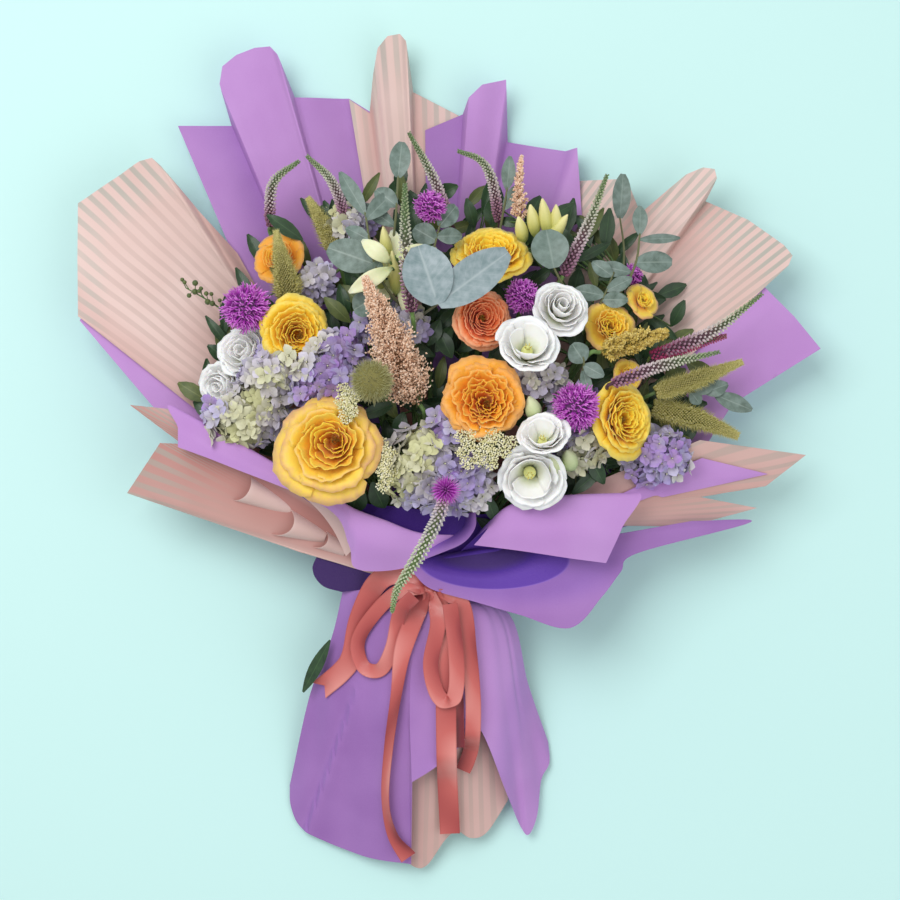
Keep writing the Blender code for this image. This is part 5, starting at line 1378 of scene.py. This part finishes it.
hydrangea("hydrangea_left", 701, 9.8, (300, 392, 84),
          [(247, 415, 128, 44, 32, 58, 0.05, 0.68), (325, 372, 152, 44, 40, 66, 0.2, 0.95),
           (272, 370, 138, 34, 24, 34, 0.3, 0.75)])
hydrangea("hydrangea_centre", 702, 9.6, (440, 452, 108),
          [(425, 468, 160, 44, 42, 70, 0.0, 0.75), (465, 484, 158, 28, 28, 30, 0.45, 1.0),
           (392, 326, 136, 36, 20, 34, 0.5, 0.9), (446, 428, 160, 22, 18, 12, 0.7, 1.0)])
hydrangea("hydrangea_right", 703, 9.6, (648, 452, 78), [(655, 455, 118, 34, 28, 44, 0.3, 0.9)])
hydrangea("hydrangea_mid", 704, 8.8, (572, 440, 100),
          [(578, 430, 142, 38, 42, 66, 0.2, 0.8), (542, 378, 146, 24, 16, 22, 0.4, 0.8)])
hydrangea("hydrangea_top", 705, 8.6, (350, 262, 60),
          [(352, 222, 104, 26, 16, 28, 0.0, 0.7), (318, 282, 100, 16, 18, 20, 0.3, 0.7)])

LACE = ramp_material("lace florets", "vary", [(0.0, "D2CC90"), (0.5, "ECE6B8"), (1.0, "F8F4DC")], 0.7)
LACE_FLORETS = 40


def lace(name, seed, hub, heads):
    """Flat heads of tiny cream florets on rays from one stalk. heads lists (px, py, z, rx, ry, umbels)."""
    local = np.random.default_rng(seed)
    piece = Piece(name)
    middle = knob(piece, hub, 1)
    j = np.arange(LACE_FLORETS)
    out = 6.2 * np.sqrt((j + 0.4) / LACE_FLORETS)
    umbel = np.column_stack([out * np.cos(j * GOLDEN), out * np.sin(j * GOLDEN), -0.02 * out ** 2])
    for px, py, z, rx, ry, umbels in heads:
        for i in range(umbels):
            share = math.sqrt((i + 0.3) / umbels)
            a = i * GOLDEN
            tip = at(px + rx * share * math.cos(a), py + ry * share * math.sin(a), z - 5 * share * share)
            fork = middle + (tip - middle) * 0.75
            piece.add(tube([middle, fork], [0.8, 0.6], 4), 1)
            spots = tip + umbel + local.normal(0, 0.35, umbel.shape)
            piece.copies(BEAD, spots - UP * 1.8, spots, 1.0, 0, vary=local.random(LACE_FLORETS))
            for spot in spots[::4]:
                piece.add(tube([fork, spot - UP * 0.8], [0.35, 0.25], 3), 1)
    piece.make([LACE, PALE_STALK])


lace("lace_left", 801, (360, 440, 112), [(348, 403, 176, 10, 16, 8), (385, 465, 158, 8, 26, 9)])
lace("lace_centre", 802, (482, 448, 116), [(484, 446, 172, 30, 22, 16)])


# Leaves

def leaf_grid(root, tip, width, lift, rows=10, cols=7, normal=UP, blunt=0.62, fold=0.2, droop=0.0):
    """Points of a leaf, and their shares along and across it. lift arches it, and fold raises its sides."""
    axis = unit(tip - root)
    side = unit(np.cross(normal, axis))
    up = np.cross(axis, side)
    t = np.linspace(0, 1, rows)[:, None]
    u = np.linspace(-1, 1, cols)[None, :]
    half = width / 2 * np.maximum(np.sin(math.pi * np.clip(t * 0.93 + 0.035, 0, 1)) ** blunt, 0.05)
    high = lift * np.sin(math.pi * t) - droop * t * t + fold * half * np.abs(u) + 0.05 * width * u * t
    grid = root + (tip - root) * t[..., None] + up * high[..., None] + side * (half * u)[..., None]
    return grid, t * np.ones_like(u), np.ones_like(t) * u


def add_leaf(piece, root, tip, width, slot, vary, lift, **options):
    grid, along, across = leaf_grid(root, tip, width, lift, **options)
    piece.add(blade(grid, LEAF), slot, along=both(along), across=both(across), vary=vary)


def nearest(line, point):
    """The place on these straight runs that is nearest to this point."""
    dense = linear(line, 60)
    return dense[np.argmin(np.linalg.norm(dense - point, axis=1))]


EUCALYPTUS = leaf_material("eucalyptus leaf", "72888A", "9CAAAE", "B4C0C0")
SMALL_EUCALYPTUS = leaf_material("small eucalyptus leaf", "4C6054", "7E9088", "9CAAA0")
TWIG = ramp_material("twigs", "tip", [(0.0, "6A6E48"), (1.0, "7F8058")], 0.7)


def leaves(name, seed, hub, twigs, sprigs):
    """Twigs from one knob and loose sprigs. Each is a line, and its leaves as (root, tip, width)."""
    piece = Piece(name)
    local = random.Random(seed)
    middle = knob(piece, hub, 1)
    for twig, blades in twigs:
        line = [middle] + [at(*p) for p in twig]
        rings = 14 if len(line) > 2 else 2
        piece.add(tube(curve(line, rings), np.linspace(1.6, 0.9, rings), 7), 1)
        for root, tip, width in blades:
            add_leaf(piece, nearest(line, at(*root)), at(*tip), width, 0 if width > 34 else 2, local.random(),
                     local.uniform(1.0, 3.5), blunt=0.58 if width > 18 else 0.78, fold=0.16)
    for sprig, blades in sprigs:
        line = curve([at(*p) for p in sprig], 12)
        piece.add(tube(line, np.linspace(1.3, 0.7, 12)), 1)
        for root, tip, width in blades:
            add_leaf(piece, nearest(line, at(*root)), at(*tip), width, 2, 0.6 * local.random(),
                     local.uniform(0.5, 3.0), blunt=0.6 if width > 16 else 0.78)
    piece.make([EUCALYPTUS, TWIG, SMALL_EUCALYPTUS])


leaves("eucalyptus_left", 901, (418, 318, 90), [
    ([(392, 296, 140), (374, 262, 150), (365, 212, 132)],
     [((374, 264, 150), (328, 248, 142), 30), ((370, 238, 146), (346, 228, 134), 13),
      ((366, 215, 132), (340, 172, 118), 15), ((367, 220, 132), (392, 194, 120), 17)]),
    ([(438, 304, 182)],
     [((438, 304, 182), (418, 246, 180), 44), ((438, 304, 182), (508, 252, 176), 36)])], [
    ([(392, 250, 120), (396, 214, 128), (398, 178, 122), (400, 164, 118)],
     [((398, 178, 122), (402, 142, 118), 19), ((396, 206, 126), (376, 190, 122), 17),
      ((394, 226, 126), (362, 204, 124), 14)]),
    ([(430, 262, 128), (436, 240, 132), (442, 216, 126)],
     [((436, 240, 132), (414, 228, 128), 20), ((440, 226, 130), (456, 206, 120), 18),
      ((436, 236, 132), (462, 236, 128), 15)]),
    ([(400, 330, 140), (378, 304, 152), (362, 284, 146)],
     [((372, 300, 150), (354, 310, 140), 22), ((366, 290, 148), (380, 262, 150), 17)]),
    ([(500, 230, 84), (506, 196, 92), (509, 172, 90)],
     [((506, 190, 92), (510, 156, 92), 13), ((503, 210, 92), (520, 184, 92), 12)])])
leaves("eucalyptus_right", 902, (590, 320, 70), [
    ([(566, 290, 112), (554, 268, 122)], [((554, 268, 122), (546, 230, 116), 34)]),
    ([(622, 290, 104), (636, 262, 112), (640, 232, 104)],
     [((636, 262, 112), (672, 262, 104), 20), ((640, 235, 104), (640, 206, 98), 14),
      ((639, 240, 106), (680, 238, 98), 9), ((630, 272, 110), (598, 266, 106), 14)])], [
    ([(622, 290, 80), (624, 250, 66), (619, 212, 60)], [((620, 218, 60), (623, 174, 58), 17)]),
    ([(590, 320, 100), (604, 296, 112), (614, 272, 112)],
     [((604, 296, 112), (574, 290, 112), 15), ((606, 290, 112), (632, 278, 112), 13),
      ((602, 300, 112), (628, 300, 116), 15), ((612, 276, 112), (592, 262, 112), 14)]),
    ([(580, 380, 130), (584, 362, 142), (580, 348, 144)],
     [((584, 362, 142), (572, 344, 146), 20), ((584, 366, 142), (604, 376, 146), 14),
      ((582, 372, 140), (590, 398, 146), 10)]),
    ([(664, 392, 94), (696, 392, 98), (722, 396, 96)],
     [((694, 392, 98), (712, 378, 100), 18), ((704, 394, 98), (728, 384, 98), 15),
      ((714, 396, 96), (752, 410, 94), 16), ((690, 392, 98), (700, 404, 94), 12)])])

# The cream lily, with its stamens, buds and three loose petals

LILY = petal_material("cream lily", "B4C878", "EDEBC0", "F4F1D8", ("A8BE60", "E6E6B0", "F2EFD0"), 0.45)
piece = Piece("lily")
heart, axis = at(402, 276, 128), unit(vec(0, 0.1, 1))
for i, out in enumerate(spokes(axis, 0.2 + math.pi / 6 + evenly(6))):
    tip = heart + out * (43 if i % 2 else 40) - axis * 3
    grid, along, _ = leaf_grid(heart - axis * 6 + out * 2, tip, 15, 7, rows=12, normal=axis, blunt=0.7,
                               fold=0.22)
    piece.add(blade(grid, 0.6), 0, along=both(along), inner=0.0, vary=0.3 + 0.1 * i)
tips = heart + spokes(axis, 0.7 + evenly(6)) * 12 + axis * 9
piece.copies(NEEDLE, np.tile(heart - axis * 4, (6, 1)), tips, 0.6, 1)
piece.copies(BEAD, tips - axis * 1.5, tips + frame_of(axis)[0] * 4, 1.0, 2)
piece.add(tube([heart - axis * 20, heart - axis * 12, heart - axis * 3], [2.2, 3.6, 4.0], 10), 1)
stalks(piece, [(heart - axis * 18, axis)], (404, 300, 104))
for root, tip in (((382, 292, 128), (375, 246, 150)), ((396, 296, 130), (392, 250, 156)),
                  ((388, 262, 130), (383, 226, 142))):
    bud(piece, root, tip, 5.6, 3)
    piece.add(tube(curve([heart - axis * 16, at(*root)], 4), 1.0), 1)
for root, tip in (((392, 268, 156), (349, 292, 160)), ((396, 256, 158), (436, 250, 156)),
                  ((390, 262, 156), (362, 240, 158))):
    grid, along, _ = leaf_grid(at(*root), at(*tip), 15, 5.0, blunt=0.8, fold=0.25, droop=4.0)
    piece.add(blade(grid, LEAF), 0, along=both(along) * 0.8 + 0.15, inner=0.0, vary=0.3)
    piece.add(tube([heart - axis * 14, at(*root)], [2.0, 1.2]), 1)
piece.make([LILY, GREEN, STAMEN, YELLOW_BUD], sharp=0)

# Stems, and the dark leaves between the blooms: dark foliage whose very dark colour also stands in for the
# shade in the gaps

STEM = ramp_material("stems", "along", [(0.0, "4C6A34"), (0.5, "5A7A3C"), (1.0, "6A8A48")], 0.5)
DARK_LEAF_AND_SHADE = leaf_material("dark leaf", "1E3622", "32502E", "507244", 0.4)
OLIVE_LEAF = leaf_material("olive leaf", "4A5A2C", "66703A", "8A9052", 0.5)


def stem_points(foot, axis):
    """From inside the bundle, out low over the back papers, and up to just under a bloom."""
    end = foot - axis * 0.3
    below = end - axis * 12
    start = NECK + vec(np.clip((below[0] - NECK[0]) / 16, -10, 10), 8, np.clip((end[2] - 105) / 8, -8, 8))
    plan = start[:2] + (below[:2] - start[:2]) * 0.82
    floor_z = back_height(*plan) + 3 * layer_step(np.linalg.norm(plan - NECK[:2])) + 5
    return [start, vec(*plan, max(floor_z, NECK_Z + 0.3 * (below[2] - NECK_Z))), below, end]


STEM_SHARES = np.linspace(0, 1, 28)
CUT_STEMS = 26
stems = Piece("stems")
stem_places = []
for foot, axis in FEET:
    corners = stem_points(foot, axis)
    line = curve(corners, len(STEM_SHARES))
    line[:, 2] = np.maximum(line[:, 2], linear(corners, len(STEM_SHARES))[:, 2] - 3.0)
    stem_places.append(line[9:])
    stems.add(tube(line, 2.4 - 0.5 * STEM_SHARES, 8), 0, along=tube_marks(STEM_SHARES, 8))
for i in range(CUT_STEMS):
    a = i * GOLDEN
    spread = vec(math.cos(a), 0, math.sin(a)) * 12.5 * math.sqrt((i + 0.5) / CUT_STEMS)
    low_end = vec(NECK[0], at(0, 770 - 5 * (i % 4), 34)[1], 31) + spread * (1.5, 0, 0.75)
    line = curve([NECK + vec(0, 12, 0) + spread, NECK - vec(0, 14, 0) + spread * 0.9, low_end], 10)
    stems.add(tube(line, 2.5, 7), 0, along=0.3)

# Where the dark leaves grow, in plan
PATCH = [(212, 345), (236, 300), (262, 262), (300, 232), (345, 205), (400, 190), (470, 196), (540, 205),
         (600, 235), (650, 285), (684, 340), (692, 400), (690, 470), (600, 495), (520, 515), (430, 522),
         (372, 510), (300, 480), (232, 450), (204, 400)]


def inside(px, py, corners):
    """Whether this place is inside the polygon."""
    hit = False
    for (x0, y0), (x1, y1) in zip(corners, corners[1:] + corners[:1]):
        if (y0 > py) != (y1 > py) and px < (x1 - x0) * (py - y0) / (y1 - y0) + x0:
            hit = not hit
    return hit


DARK_LEAVES = 430
stem_places = np.vstack(stem_places)
local = random.Random(77)
made = 0
while made < DARK_LEAVES:
    px, py = local.uniform(200, 700), local.uniform(185, 525)
    if not inside(px, py, PATCH):
        continue
    made += 1
    ground = back_height(*at(px, py, 60)[:2]) + 16
    high = local.uniform(0.25, 1.0) * (128 - 0.2 * math.hypot(px - 450, py - 430))
    root = at(px, py, max(high, ground))
    away = unit(vec(px - 440, 560 - py))
    way = vec(*turned(away, local.gauss(0, 0.8)), local.uniform(-0.2, 0.35))
    tip = root + unit(way) * local.uniform(24, 40)
    near = stem_places[np.argmin(np.linalg.norm(stem_places - (root - UP * 14), axis=1))]
    stems.add(tube([near, (near + root) / 2 - UP * 3, root], 0.8, 4), 0, along=0.4)
    add_leaf(stems, root, tip, local.uniform(9, 16), 1 if local.random() < 0.72 else 2, local.random(),
             local.uniform(0.5, 4), rows=6, cols=5, blunt=0.9, fold=0.22)
for root, tip, width in (
        ((452, 358, 112), (438, 330, 112), 15), ((436, 352, 112), (452, 326, 110), 13),
        ((440, 320, 112), (428, 346, 112), 14), ((396, 436, 120), (404, 412, 122), 13),
        ((402, 430, 122), (392, 456, 120), 13), ((360, 484, 128), (352, 512, 112), 22),
        ((372, 482, 128), (384, 508, 112), 18), ((486, 494, 128), (496, 522, 116), 12),
        ((588, 455, 120), (604, 484, 112), 14), ((600, 470, 112), (572, 494, 112), 12),
        ((330, 640, 62), (303, 692, 44), 12)):
    add_leaf(stems, at(*root), at(*tip), width, 1, 0.3, 2.0, blunt=0.9)

# The thin bud sprig at the left, and the green-yellow buds at the top
sprig = [at(246, 332, 100), at(222, 310, 104), at(204, 298, 104), at(186, 288, 100)]
stems.add(tube(curve(sprig, 10), np.linspace(1.0, 0.5, 10), 5), 0, along=0.2)
for k, p in enumerate(curve(sprig, 18)[6:]):
    x = local.uniform(-5, 3)
    y = local.uniform(-6, 8) if k % 2 else local.uniform(2, 10)
    tip = p + vec(x, y, local.uniform(0, 5))
    stems.add(tube([p, tip], 0.4, 4), 0, along=0.2)
    stems.add(ball(tip, local.uniform(2.0, 3.0), 1.2, 5, 8), 2, vary=0.2, across=1.0)
for root, tip in (((536, 238, 96), (530, 204, 112)), ((548, 238, 96), (542, 198, 114)),
                  ((556, 240, 94), (556, 204, 110)), ((546, 246, 96), (568, 214, 108)),
                  ((524, 244, 96), (518, 216, 106))):
    bud(stems, root, tip, 6.0, 3, 0)
    stems.add(tube([at(*root), at(548, 276, 78)], 1.0, 5), 0, along=0.5)
stems.make([STEM, DARK_LEAF_AND_SHADE, OLIVE_LEAF, YELLOW_BUD])

# The ribbon

front, front_faces = paper_shapes["skirt_front"]
middle, middle_faces = paper_shapes["skirt_stripe"]
skirt_tree = BVHTree.FromPolygons(np.vstack([front, middle]).tolist(),
                                  np.vstack([front_faces, middle_faces + len(front)]).tolist())
ribbon = Piece("ribbon")
RIBBON_ROWS = 64


def top_of(point):
    """Height of the skirt at this place, if it is there."""
    hit = skirt_tree.ray_cast(Vector((point[0], point[1], 600.0)), Vector((0, 0, -1)))[0]
    return hit.z if hit else None


def averaged(values, count):
    """Each value averaged over count neighbours."""
    return np.convolve(np.pad(values, count // 2, mode="edge"), np.ones(count) / count, mode="valid")


def ribbon_strip(path, width, layer, notch=False, narrow=((0, 1), (1, 1)), dim=0.0):
    """A strip laid on the papers below the tie.

    path lists (px, py), or (px, py, z) where it is free. layer is how high it lies over the papers. A notched
    one ends in a cut. narrow has shares along it and of its width there. dim is added to its painted light.
    """
    places = np.arange(len(path))
    share = np.linspace(0, len(path) - 1, RIBBON_ROWS)
    heights = [p[2] if len(p) > 2 else NECK_Z for p in path]
    plan = curve([at(p[0], p[1], z) for p, z in zip(path, heights)], RIBBON_ROWS)
    free = np.interp(share, places, [float(len(p) > 2) for p in path])
    level = np.interp(share, places, heights)
    step = np.gradient(plan[:, :2], axis=0)
    ahead, length = each_unit(step), np.linalg.norm(step, axis=1)
    bend = np.abs(np.gradient(np.unwrap(np.arctan2(ahead[:, 1], ahead[:, 0]))))
    t = np.linspace(0, 1, RIBBON_ROWS)
    half = np.minimum(width * np.interp(t, *narrow) / 2, 0.85 * length / np.maximum(bend, 1e-4))
    half = averaged(half, 5) * np.interp(np.arange(RIBBON_ROWS), [0, 5], [0.45, 1.0])
    side = np.column_stack([-ahead[:, 1], ahead[:, 0], np.zeros(RIBBON_ROWS)]) * half[:, None]
    z = np.zeros(RIBBON_ROWS)
    for i in range(RIBBON_ROWS):
        tops = [top_of(plan[i] + side[i] * k) for k in (-1, -0.5, 0, 0.5, 1)]
        tops = [top for top in tops if top is not None]
        rest = max(tops) + 1.2 + 1.5 * layer if tops else plan[i, 2]
        z[i] = max(free[i] * level[i], rest) if free[i] > 0.5 else rest
    z = averaged(np.maximum(z, averaged(z, 7)), 5)
    z += 0.5 * np.sin(9 * t) * smooth(3 * t)
    u = np.linspace(-1, 1, 7)
    edge_on = 1 - half[:, None] / (width / 2)
    grid = plan[:, None] + side[:, None] * u[:, None]
    if notch:
        cut = np.maximum(np.arange(RIBBON_ROWS) - (RIBBON_ROWS - 6), 0)[:, None] * 1.4 * (1 - np.abs(u))
        grid[..., :2] -= ahead[:, None] * cut[..., None]
    grid[..., 2] = z[:, None] + 0.45 * u ** 2 + 0.4 * width * edge_on * (u + 1)
    run = np.cumsum(length)[:, None]
    # Painted satin sheen: bands of highlight and shade along and across, painted shade where it turns edge-on
    lit = 0.52 + dim + 0.24 * np.sin(run / 19.0 + width) + 0.25 * u * np.cos(run / 27.0) - 0.25 * edge_on
    along, edge = np.broadcast_arrays(t[:, None], np.abs(u))
    ribbon.add(blade(grid, PETAL), 0, along=both(along), edge=both(edge), lit=both(lit))


# The band goes round the tie: its half width, its lowest and highest place, and its two plan rows
BAND_HALF, BAND_LOW, BAND_HIGH = 25.7, 37.6, 87.8
t = np.linspace(0, 1, 9)[:, None]
a = 2 * math.pi * (np.arange(57) + 0.5) / 56
near_y, far_y = at(0, 586, NECK_Z)[1], at(0, 602, NECK_Z)[1]
waist = 0.35 * np.sin(4 * math.pi * t)
around_x, around_z = (np.sign(v) * np.abs(v) ** 0.55 for v in (np.cos(a), np.sin(a)))
x = NECK[0] + around_x * (BAND_HALF + waist)
z = (BAND_LOW + BAND_HIGH) / 2 + around_z * ((BAND_HIGH - BAND_LOW) / 2 + 0.7 + waist)
y = near_y + (far_y - near_y) * t
along, edge = np.broadcast_arrays(np.linspace(0, 1, 57), np.abs(2 * t - 1))
# The band has a flat painted light, a little darker than the strips
ribbon.add(blade(np.stack(np.broadcast_arrays(x, y, z), axis=-1), PETAL), 0, along=both(along),
           edge=both(edge), lit=0.4)

# The knot
knot = at(430, 592, 95)
t, u = np.meshgrid(np.linspace(-1.9, 1.9, 26), np.linspace(-1, 1, 9), indexing="ij")
wrap = np.stack([knot[0] + u * 7.5 + 1.2 * np.sin(3 * t), knot[1] - 8.5 * np.sin(t),
                 knot[2] - 3 + 7.5 * np.cos(t) - 1.6 * u ** 2 + 0.5 * np.sin(6 * u + 2 * t)], axis=-1)
# The knot has a flat painted light, a little brighter than the strips
ribbon.add(blade(wrap, PETAL), 0, along=both(t / 4), edge=both(np.abs(u)), lit=0.6)

# Loops and tails, the notched tail at the left first
ribbon_strip([(422, 590, 97), (398, 574, 98), (376, 584, 92), (360, 618), (352, 655), (341, 672), (318, 692)],
             19, 0, notch=True)
ribbon_strip([(424, 590, 99), (398, 592, 100), (372, 616), (358, 642), (364, 666), (381, 668), (393, 645),
              (400, 612, 103), (414, 596, 104)], 13, 1)
ribbon_strip([(426, 592, 98), (414, 618), (403, 650), (397, 690), (389, 745), (385, 800), (392, 838),
              (408, 862)],
             17, 1, narrow=((0, 0.25, 0.45, 0.75, 0.9, 1), (1, 1, 0.55, 0.4, 0.65, 0.95)))
ribbon_strip([(438, 592, 98), (462, 604, 99), (469, 650), (473, 700), (472, 742), (468, 760), (463, 772)], 14,
             1.6)
# This narrow strip gets darker painted light than the others
ribbon_strip([(440, 592, 98), (452, 640), (458, 690), (459, 720), (460, 746)], 9, 0.2, dim=-0.6)
ribbon_strip([(436, 592, 98), (446, 640), (446, 700), (447, 770), (450, 838)], 18.5, 3)
ribbon_strip([(432, 592, 98), (438, 620), (431, 660), (437, 690), (449, 700), (456, 686), (456, 650),
              (450, 604, 107)], 14, 5)
ribbon_piece = ribbon.make([RIBBON], sharp=50)


# Loose rolls of striped paper at the lower left, and the small cup at the collar's end

def paper_cone(piece, mouth, back, radii, turns, slant):
    """A rolled tongue of paper from its open mouth to its narrow back end, in painted shade inside."""
    mouth, back = at(*mouth), at(*back)
    ahead = unit(back - mouth)
    side = unit(np.cross(UP, ahead))
    up = np.cross(ahead, side)
    t, a = np.meshgrid(np.linspace(0, 1, 16), np.radians(np.linspace(*turns, 22)), indexing="ij")
    radius = radii[0] + (radii[1] - radii[0]) * t
    forward = slant * np.maximum(np.sin(a), 0) * (1 - t)
    grid = mouth + (back - mouth) * t[..., None] + ahead * forward[..., None]
    grid += side * (radius * np.cos(a))[..., None] + up * (radius * np.sin(a))[..., None]
    # Painted shade: full inside, light on the outside, and none near the mouth
    outside = 0.2 * (1 - np.exp(-(t / 0.06) ** 2)).ravel()
    piece.add(blade(grid, PAPER), 0, stripe=0.0, deep=np.append(np.ones(outside.size), outside), show=0.0)


def strip_between(first, second, along, across):
    """Points of a strip between two smooth lines, and how far across each one is."""
    first, second = (curve([at(*p) for p in line], along)[:, None] for line in (first, second))
    t = np.linspace(0, 1, across)[None, :, None] * np.ones((along, 1, 1))
    return first * (1 - t) + second * t, t[..., 0]


rolls = Piece("striped_rolls", added=True)
paper_cone(rolls, (238, 484, 86), (300, 512, 84), (15.0, 6.0), (-20, 200), 12.0)
paper_cone(rolls, (276, 518, 84), (326, 536, 82), (15.0, 7.0), (-25, 205), 17.0)
paper_cone(rolls, (316, 536, 84), (346, 550, 82), (10.0, 6.0), (-25, 205), 11.0)
strip, _ = strip_between([(282, 482, 100), (312, 504, 100), (332, 528, 99), (346, 556, 96)],
                         [(300, 484, 103), (328, 503, 104), (348, 522, 103), (358, 545, 99)], 30, 6)
rolls.add(blade(strip, PAPER), 0, stripe=0.0, deep=0.0, show=0.0)
rolls.make([STRIPED])
cup = Piece("lilac_cup", added=True)
strip, across = strip_between([(476, 512, 122), (475, 528, 126), (463, 543, 126), (441, 553, 123),
                               (417, 562, 116)],
                              [(466, 513, 112), (464, 526, 110), (453, 535, 110), (434, 542, 110),
                               (412, 549, 106)],
                              44, 10)
strip[..., 2] += 4.0 * np.sin(math.pi * across)
# Painted shade, deeper towards its far edge, over a shaded tone (low)
cup.add(blade(strip, PAPER), 0, deep=both(0.35 + 0.6 * across), low=0.6)
cup.make([LILAC])


# Stage, light and camera

def plain_floor():
    mesh = bpy.data.meshes.new("floor")
    mesh.from_pydata([(-4, -4, 0), (4, -4, 0), (4, 4, 0), (-4, 4, 0)], [], [(0, 1, 2, 3)])
    s = Shader("floor", 0.9)
    s.bsdf.inputs["Base Color"].default_value = srgb("CFF5F1")
    mesh.materials.append(s.material)
    floor = bpy.data.objects.new("floor", mesh)
    bpy.context.scene.collection.objects.link(floor)


def area_light(name, place, aim, size, power, colour=(1, 1, 1)):
    data = bpy.data.lights.new(name, "AREA")
    data.size = size
    data.energy = power
    data.color = colour
    lamp = bpy.data.objects.new(name, data)
    lamp.location = place
    lamp.rotation_euler = (Vector(aim) - Vector(place)).to_track_quat("-Z", "Y").to_euler()
    bpy.context.scene.collection.objects.link(lamp)


plain_floor()
area_light("key", (-0.9, 0.9, 2.2), (0, 0, 0.05), 1.5, 35)
area_light("fill", (1.5, -0.7, 2.0), (0, 0, 0.05), 2.4, 15)
world = bpy.data.worlds.new("soft room")
world.use_nodes = True
world.node_tree.nodes["Background"].inputs["Color"].default_value = (0.95, 0.98, 1.0, 1)
world.node_tree.nodes["Background"].inputs["Strength"].default_value = 0.5
bpy.context.scene.world = world
bpy.context.scene.view_settings.view_transform = "Standard"

camera_data = bpy.data.cameras.new("camera")
camera_data.sensor_width = 36.0
camera_data.lens = 36.0 * (EYE_HEIGHT - TRUE_HEIGHT) / (UNIT * 2 * MIDDLE)
camera = bpy.data.objects.new("camera", camera_data)
camera.location = Vector((0.0, 0.0, EYE_HEIGHT) - SHIFT) * METRE
bpy.context.scene.collection.objects.link(camera)
bpy.context.scene.camera = camera
